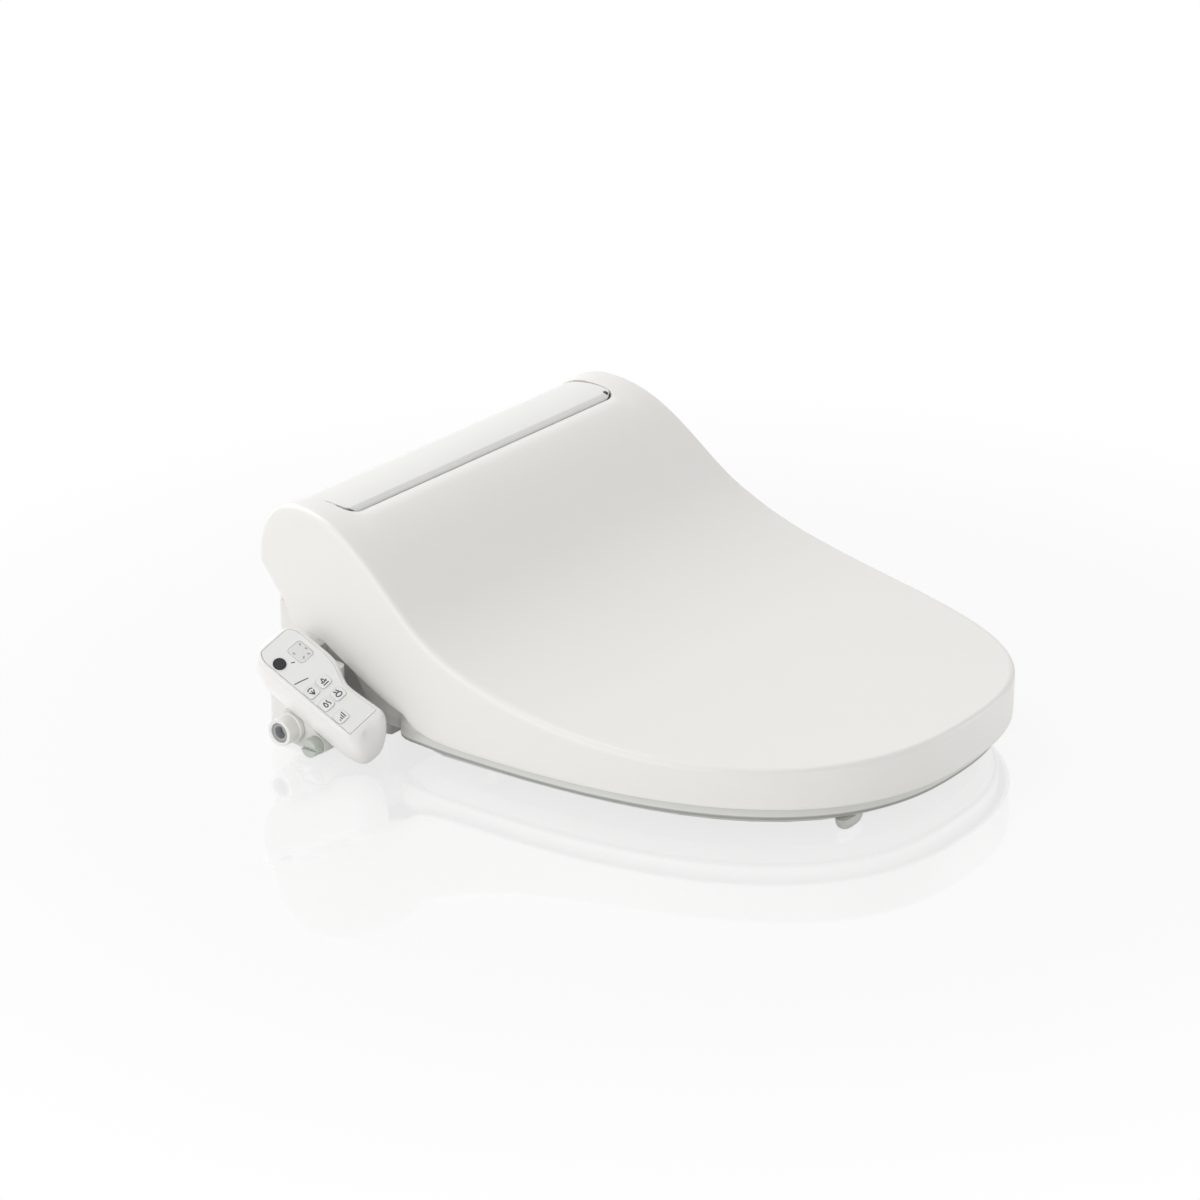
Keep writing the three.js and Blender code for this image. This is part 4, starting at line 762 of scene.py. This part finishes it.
def seatArm(v, sign):
    # on one side, the outline drawn across the arm's width and a sleeve round the hinge axis
    outline = seatArmOutline(v) + np.array([hingeAt.y, hingeAt.z])
    inner, outer = v["armOuter"] - v["armWidth"], v["armOuter"]
    slab = slabGrid(outline, *sorted((sign * inner, sign * outer)), v["armRound"])
    a, b, r, bore = v["hubInner"], inner + 0.001, v["hub"] - 0.002, v["hubBore"]
    profile = [(a, bore), (a, r - 0.001), (a + 0.001, r), (b, r)]
    return slab, (turnedProfile([(sign * p, q) for p, q in profile], hingeAt), True, False)


buildPiece("seat_ring", [ringGrid(seatValues)], "seatGloss", "seat", ("seat_top_shell",), 50.0)
for label, sign in (("left", 1), ("right", -1)):
    arm, hub = seatArm(seatValues, sign)
    buildPiece("seat_arm_" + label, [arm], "seatGloss", "seat")
    sleeve = buildPiece("seat_hub_" + label, [hub], "seatGloss", "seat")
    giveWall(sleeve, seatValues["hubWall"], 0.0)
print("seat made")


# control arm: a pod with a flat face, a recess for the sheet and a bowl-shaped belly; each of filletWide,
# filletDeep and fullness holds the value at the sides, then what the front and the back add
podValues = {"centre": (-0.233, -0.0444, 0.0494), "pitch": 27.9, "roll": -25.5, "yaw": 4.8,
             "halfLength": 0.060, "halfWidth": 0.023, "halfHeight": 0.0255, "corner": 0.017,
             "backCorner": 0.021, "waist": 0.013, "step": 0.006, "inset": 0.0045, "fit": 0.0003,
             "front": 0.043, "back": 0.053, "recess": 0.0011,
             "filletWide": (0.0045, 0.0115, 0.003), "filletDeep": (0.005, 0.022, 0.007),
             "fullness": (2.5, 0.8, 0.8)}


def podFrame(v):
    # turned about its length first, then tipped forward, then yawed
    return (Matrix.Rotation(np.radians(v["yaw"]), 3, "Z") @ Matrix.Rotation(np.radians(v["pitch"]), 3, "X")
            @ Matrix.Rotation(np.radians(v["roll"]), 3, "Y"))


def podPlan(v, inset=0.0, steps=14):
    # half width and half length less the inset; full width at the back, stepping in towards the front
    w, l, waist = v["halfWidth"] - inset, v["halfLength"] - inset, v["waist"] - inset
    c, step = v["corner"] - inset, v["step"] + 0.4 * inset
    b = v["backCorner"] if inset == 0.0 else c
    return legs((-w, -l + c),
                ((-w, -l + 0.4 * c), (-w + 0.4 * c, -l), (-w + c, -l), steps),
                ((waist - c + 0.003, -l), 5),
                ((waist - 0.4 * c + 0.003, -l), (waist + 0.003, -l + 0.5 * c), (waist + 0.002, -l + c),
                 steps),
                ((waist - 0.001, -0.010), (waist - 0.001, step - 0.022), (waist + 0.003, step - 0.012),
                 2 * steps),
                ((waist + 0.007, step - 0.004), (w, step), (w, step + 0.012), steps),
                ((w, l - b), 12), ((w, l - 0.4 * b), (w - 0.4 * b, l), (w - b, l), steps),
                ((-w + b, l), 5), ((-w + 0.4 * b, l), (-w, l - 0.4 * b), (-w, l - b), steps),
                ((-w, -l + c), 36))


def column(points, height):
    return np.column_stack([points, np.broadcast_to(np.ravel(height), len(points))])


def podGrid(v):
    # rings from the middle of the recess over its rim and the fillet, then down the sides to the belly
    loop = podPlan(v)
    outward = outwardOf(loop)
    front = np.clip(-outward[:, 1], 0, 1) ** 2
    back = np.clip(outward[:, 1], 0, 1) ** 2
    wide, deep, fullness = [a + b * front + c * back for a, b, c in
                            (v["filletWide"], v["filletDeep"], v["fullness"])]
    h = v["halfHeight"]
    recess = podPlan(v, v["inset"] - v["fit"])
    recess[:, 1] = np.clip(recess[:, 1], -v["front"] - v["fit"], v["back"] + v["fit"])
    room = np.sum((loop - recess) * outward, axis=1)[:, None]
    wide, deep = np.minimum(wide[:, None], room * 0.9), deep[:, None]
    rim = recess + unit(loop - recess) * v["fit"]
    rings = [column(recess * 0.0, h - v["recess"]), column(recess, h - v["recess"]),
             column(recess, h - v["fit"]), column(rim, h)]
    for phi in sweep(90, 0, 10):
        rings.append(column(loop - outward * wide * (1 - np.cos(phi)), h - deep * (1 - np.sin(phi))))
    start, depth = h - deep, 2 * h - deep
    for psi in sweep(0, 90, 26)[1:]:
        share = np.cos(psi) ** (2 / fullness) if psi < 1.57 else np.zeros(len(loop))
        rings.append(column(loop * share[:, None], start - depth * (np.sin(psi) ** (2 / fullness))[:, None]))
    return (ontoArm(v, np.stack(rings, 0)), False, True)


def ontoArm(v, grid):
    # from the pod's own axes to its place
    turned = np.array(podFrame(v)) @ grid.reshape(-1, 3).T
    return turned.T.reshape(grid.shape) + np.array(v["centre"])


buildPiece("arm_shell", [podGrid(podValues)], "podSatin", "unit",
           ("arm_upper_case", "arm_lower_case"), 34.0)

# the signs: a height over the pod's middle for each surface, and places in the plane of the pod's face
markValues = {"stroke": 0.0010, "sink": 0.00003, "proud": 0.00005, "size": 0.0030,
              "face": 0.0255, "key": 0.0261, "lens": 0.0256,
              "left": -0.0125, "right": 0.0005, "rows": (0.002, -0.013, -0.028),
              "divider": ((-0.0172, 0.0158), (-0.0115, 0.0142), (-0.0055, 0.0123)), "dividerStroke": 0.0009,
              "dash": ((-0.0052, 0.0305), (-0.0026, 0.0290)), "lampRadius": 0.0011, "lampStroke": 0.0013,
              "lamps": ((0.0115, 0.0368, 60), (0.0122, 0.0312, 95), (0.0102, 0.0266, 130),
                        (0.0052, 0.0270, 30), (0.0024, 0.0345, 100))}


def strokeGrid(v, path, height, width=None):
    # a path widened to both sides in the arm's plane, a hair thick, closed at both ends
    path = np.array(path, float)
    along = unit(np.gradient(path, axis=0))
    side = np.stack([-along[:, 1], along[:, 0]], 1) * (width or v["stroke"]) / 2
    low, high = height - v["sink"], height + v["proud"]
    rows = np.stack([column(path - side, low), column(path - side, high), column(path + side, high),
                     column(path + side, low)], 1)
    middle = rows.mean(axis=1, keepdims=True)
    closed = np.vstack([np.repeat(middle[:1], 4, 1), rows, np.repeat(middle[-1:], 4, 1)])
    return (ontoArm(podValues, closed), False, True)


def arc(x, y, radius, start, end, steps=14, flat=1.0):
    # part of a circle, flattened along y
    turn = sweep(start, end, steps)
    return np.stack([x + radius * np.cos(turn), y + flat * radius * np.sin(turn)], 1)


def drop(x, y, size, steps=26):
    # a circle whose upper half narrows to a tip
    t = np.linspace(0.0, 2 * np.pi, steps)
    return np.stack([x + size * np.sin(t) * np.abs(np.sin(t / 2)) ** 1.4, y + 1.25 * size * np.cos(t)], 1)


def ripple(x, y, height, swing, steps=12):
    # one wave of a sine, running upwards
    t = ramp(steps)
    return np.stack([x + swing * np.sin(t * 2 * np.pi), y + height * (t - 0.5)], 1)


def keyMarks():
    # plain signs in shares of their half size: sprays, a drop, a warm ring and rising bars
    return {
        "rear_wash_button": [[(0, -1), (-0.8, 0.2)], [(0, -1), (0, 0.3)], [(0, -1), (0.8, 0.2)],
                             arc(0, 0, 1, 35, 145)],
        "front_wash_button": [drop(0, 0.35, 0.5), [(-0.9, -0.9), (0.9, -0.9)], [(-0.5, -0.4), (-0.9, 0.1)],
                              [(0.5, -0.4), (0.9, 0.1)]],
        "water_warmth_button": [drop(-0.35, 0, 0.6), ripple(0.75, 0, 1.7, 0.2)],
        "seat_warmth_button": [arc(0, -0.3, 0.9, 0, 360, 24, 0.6), ripple(-0.4, 0.7, 0.9, 0.15),
                               ripple(0.4, 0.7, 0.9, 0.15)],
        "pressure_button": [[(0.6 * k - 0.9, -0.9), (0.6 * k - 0.9, 0.45 * k - 0.45)] for k in range(4)],
    }


def placeMarks(v):
    # a sign on each key, which rides with it, then the lines on the face and the lamps' dashes
    left, right, rows = v["left"], v["right"], v["rows"]
    centres = [(left, rows[0]), (right, rows[0]), (left, rows[1]), (right, rows[1]), (left, rows[2])]
    for (key, strokes), centre in zip(keyMarks().items(), centres):
        grids = [strokeGrid(v, np.array(path) * v["size"] + np.array(centre), v["key"]) for path in strokes]
        buildPiece(key.removesuffix("_button") + "_sign", grids, "printGrey", key, merge=1e-6)
    face = [strokeGrid(v, v["divider"], v["face"], v["dividerStroke"]), strokeGrid(v, v["dash"], v["face"])]
    buildPiece("face_marks", face, "printGrey", "unit", merge=1e-6)
    dashes = [arc(x, y, v["lampRadius"], turn, turn + 180, 2) for x, y, turn in v["lamps"]]
    buildPiece("lamp_marks", [strokeGrid(v, path, v["lens"], v["lampStroke"]) for path in dashes], "lampGrey",
               "unit", merge=1e-6)


placeMarks(markValues)
print("control arm made")


bumperValues = {"foot": 0.5, "fullness": 3.0, "steps": 40}


def bumperGrid(v, node):
    # a superellipse plan on the bar's own long axis, which draws in from the root to a small flat foot
    solid = frame["nodes"][node]
    points = np.array([solid.matrix_world @ vertex.co for vertex in solid.data.vertices])
    middle = (points.max(0) + points.min(0)) / 2
    axes = np.linalg.svd(points[:, :2] - points[:, :2].mean(0), full_matrices=False)[2]
    half = np.abs((points[:, :2] - middle[:2]) @ axes.T).max(0)
    plan = superellipse(fullTurn(v["steps"]), 2 / v["fullness"], half)
    if np.linalg.det(axes) < 0:
        plan = plan[::-1]
    phi = sweep(0, 90, 12)
    share = np.concatenate([[0.0], v["foot"] + (1.0 - v["foot"]) * np.cos(phi), [0.0]])[:, None, None]
    low, high = points[:, 2].min(), points[:, 2].max()
    height = np.concatenate([[high], high - (high - low) * np.sin(phi), [low]])[:, None]
    flat = middle[:2] + share * (plan @ axes)[None]
    return (np.concatenate([flat, np.broadcast_to(height, flat.shape[:2])[..., None]], 2), False, True)


def nodesNamed(start):
    return [name for name in frame["nodes"] if name.startswith(start)]


for node in nodesNamed("seat_bumper_"):
    pad = bumperGrid(bumperValues, node)
    buildPiece(node + "_pad", [pad], "clearRubber", "seat", (node,))

# the other visible solids: finish, width of the softened edges
dressing = {
    "base_case": ("caseSatin", 0.0014), "upper_case": ("caseSatin", 0.0005),
    "mounting_plate": ("caseSatin", 0.0004), "inlet_fitting": ("caseSatin", 0.0006),
    "drain_plug": ("plugGrey", 0.0006), "inlet_seal": ("greyPlastic", 0.0005),
    "cord_gland": ("darkRubber", 0.0004), "release_button": ("greyPlastic", 0.0002),
    "arm_face_sheet": ("faceSatin", 0.00015), "indicator_lens": ("lampLens", 0.0003),
    "seat_bottom_shell": ("seatUnder", 0.0006), "stop_button": ("blackPlastic", 0.0004),
}
dressing.update({key: ("faceSatin", 0.0004) for key in keyMarks()})
dressing.update({node: ("clearRubber", 0.0022) for node in nodesNamed("lid_bumper_")})
for node, (finish, edge) in dressing.items():
    dressNode(node, finish, edge)

# the solids that stay as they are
kept = {
    "caseSatin": ("water_tank", "flow_selector", "nozzle_cradle"),
    "stripGloss": ("nozzle_rear", "nozzle_front"),
    "greyPlastic": ("seat_damper", "lid_damper"),
    "blackPlastic": ("inlet_valve", "pinion_rear", "pinion_front"),
    "boardGreen": ("control_board", "arm_board"),
    "heatFoil": ("seat_heater",),
    "zincSteel": ("tank_heater", "selector_motor", "hinge_shaft_left", "hinge_shaft_right",
                  "nozzle_motor_rear", "nozzle_motor_front", *nodesNamed("case_screw_")),
}
for finish, nodes in kept.items():
    for slot in [slot for node in nodes for slot in frame["nodes"][node].material_slots]:
        slot.material = finishes[finish]
print("solids dressed:", len(dressing), "kept:", sum(map(len, kept.values())))


floorValues = {"size": 7.0, "rows": 29, "colour": (0.90, 0.90, 0.90), "paintRough": 0.9, "white": 0.945,
               "mirror": 0.19, "mirrorRough": 0.07, "centre": (0.0, -0.215, 0.0), "near": 0.40, "far": 0.85}
lightValues = {"world": 0.35, "aim": (0.0, -0.2, 0.05),  # each lamp's place, width and power
               "lamps": {"side": ((-2.6, 0.1, 1.1), 2.0, 24.3), "top": ((0.0, 1.9, 2.4), 2.6, 78.2),
                         "front": ((2.3, -2.1, 0.5), 2.0, 30.4), "fill": ((-1.6, -2.6, 0.45), 2.0, 19.7)}}


def seenDirectly(tree):
    # one for camera, glossy and transmission rays, nought for the light itself
    rays = tree.nodes.new("ShaderNodeLightPath")
    seen = mathNode(tree, "MAXIMUM", rays.outputs["Is Camera Ray"], rays.outputs["Is Glossy Ray"])
    return mathNode(tree, "MAXIMUM", seen, rays.outputs["Is Transmission Ray"])


def mixShaders(tree, share, first, second):
    blend = tree.nodes.new("ShaderNodeMixShader")
    for socket, source in zip(blend.inputs, (share, first, second)):
        tree.links.new(source, socket)
    return blend.outputs["Shader"]


def makeFloor(v):
    # a white floor that keeps a soft shadow and a faint mirror image, and fades to plain white further out
    axis = np.linspace(-v["size"], v["size"], v["rows"])
    x, y = np.meshgrid(axis, axis)
    mesh = bpy.data.meshes.new("floor")
    mesh.from_pydata(np.stack([x, y, np.zeros_like(x)], 2).reshape(-1, 3).tolist(), [],
                     gridFaces(v["rows"], v["rows"]).tolist())
    newObject("floor", mesh)
    material = bpy.data.materials.new("paleFloor")
    material.use_nodes = True
    tree = material.node_tree
    paint = setInputs(tree, tree.nodes["Principled BSDF"], {
        "Base Color": (*v["colour"], 1.0), "Roughness": v["paintRough"], "Specular IOR Level": 0.0})
    white = addNode(tree, "Emission", {})
    mirror = addNode(tree, "BsdfGlossy", {"Roughness": v["mirrorRough"]})
    away = tree.nodes.new("ShaderNodeVectorMath")
    away.operation = "DISTANCE"
    away.inputs[1].default_value = v["centre"]
    tree.links.new(tree.nodes.new("ShaderNodeTexCoord").outputs["Object"], away.inputs[0])
    fade = rangeNode(tree, away.outputs["Value"], v["near"], v["far"])
    fade.interpolation_type = "SMOOTHSTEP"
    seen = seenDirectly(tree)
    clear = mathNode(tree, "SUBTRACT", 1.0, fade.outputs["Result"])
    whiteShare = mathNode(tree, "SUBTRACT", 1.0, times(tree, clear, 1.0 - v["white"]))
    shown = mixShaders(tree, times(tree, whiteShare, seen), paint.outputs["BSDF"], white.outputs["Emission"])
    mirrorShare = times(tree, times(tree, clear, v["mirror"]), seen)
    shown = mixShaders(tree, mirrorShare, shown, mirror.outputs["BSDF"])
    tree.links.new(shown, tree.nodes["Material Output"].inputs["Surface"])
    mesh.materials.append(material)


def makeLights(v):
    # a white surround, full where it is seen and dimmer as a light, and four square lamps
    world = bpy.data.worlds.new("studio")
    world.use_nodes = True
    tree = world.node_tree
    shown = times(tree, seenDirectly(tree), 1.0 - v["world"])
    setInputs(tree, tree.nodes["Background"], {"Color": (1.0, 1.0, 1.0, 1.0),
                                               "Strength": mathNode(tree, "ADD", shown, v["world"])})
    scene.world = world
    for name, (place, width, power) in v["lamps"].items():
        lamp = bpy.data.lights.new(name, "AREA")
        lamp.size = width
        lamp.energy = power
        holder = newObject(name, lamp)
        holder.rotation_euler = (Vector(v["aim"]) - Vector(place)).to_track_quat("-Z", "Y").to_euler()
        holder.location = place


makeFloor(floorValues)
makeLights(lightValues)
scene.view_settings.view_transform = "Standard"
print("stage set")
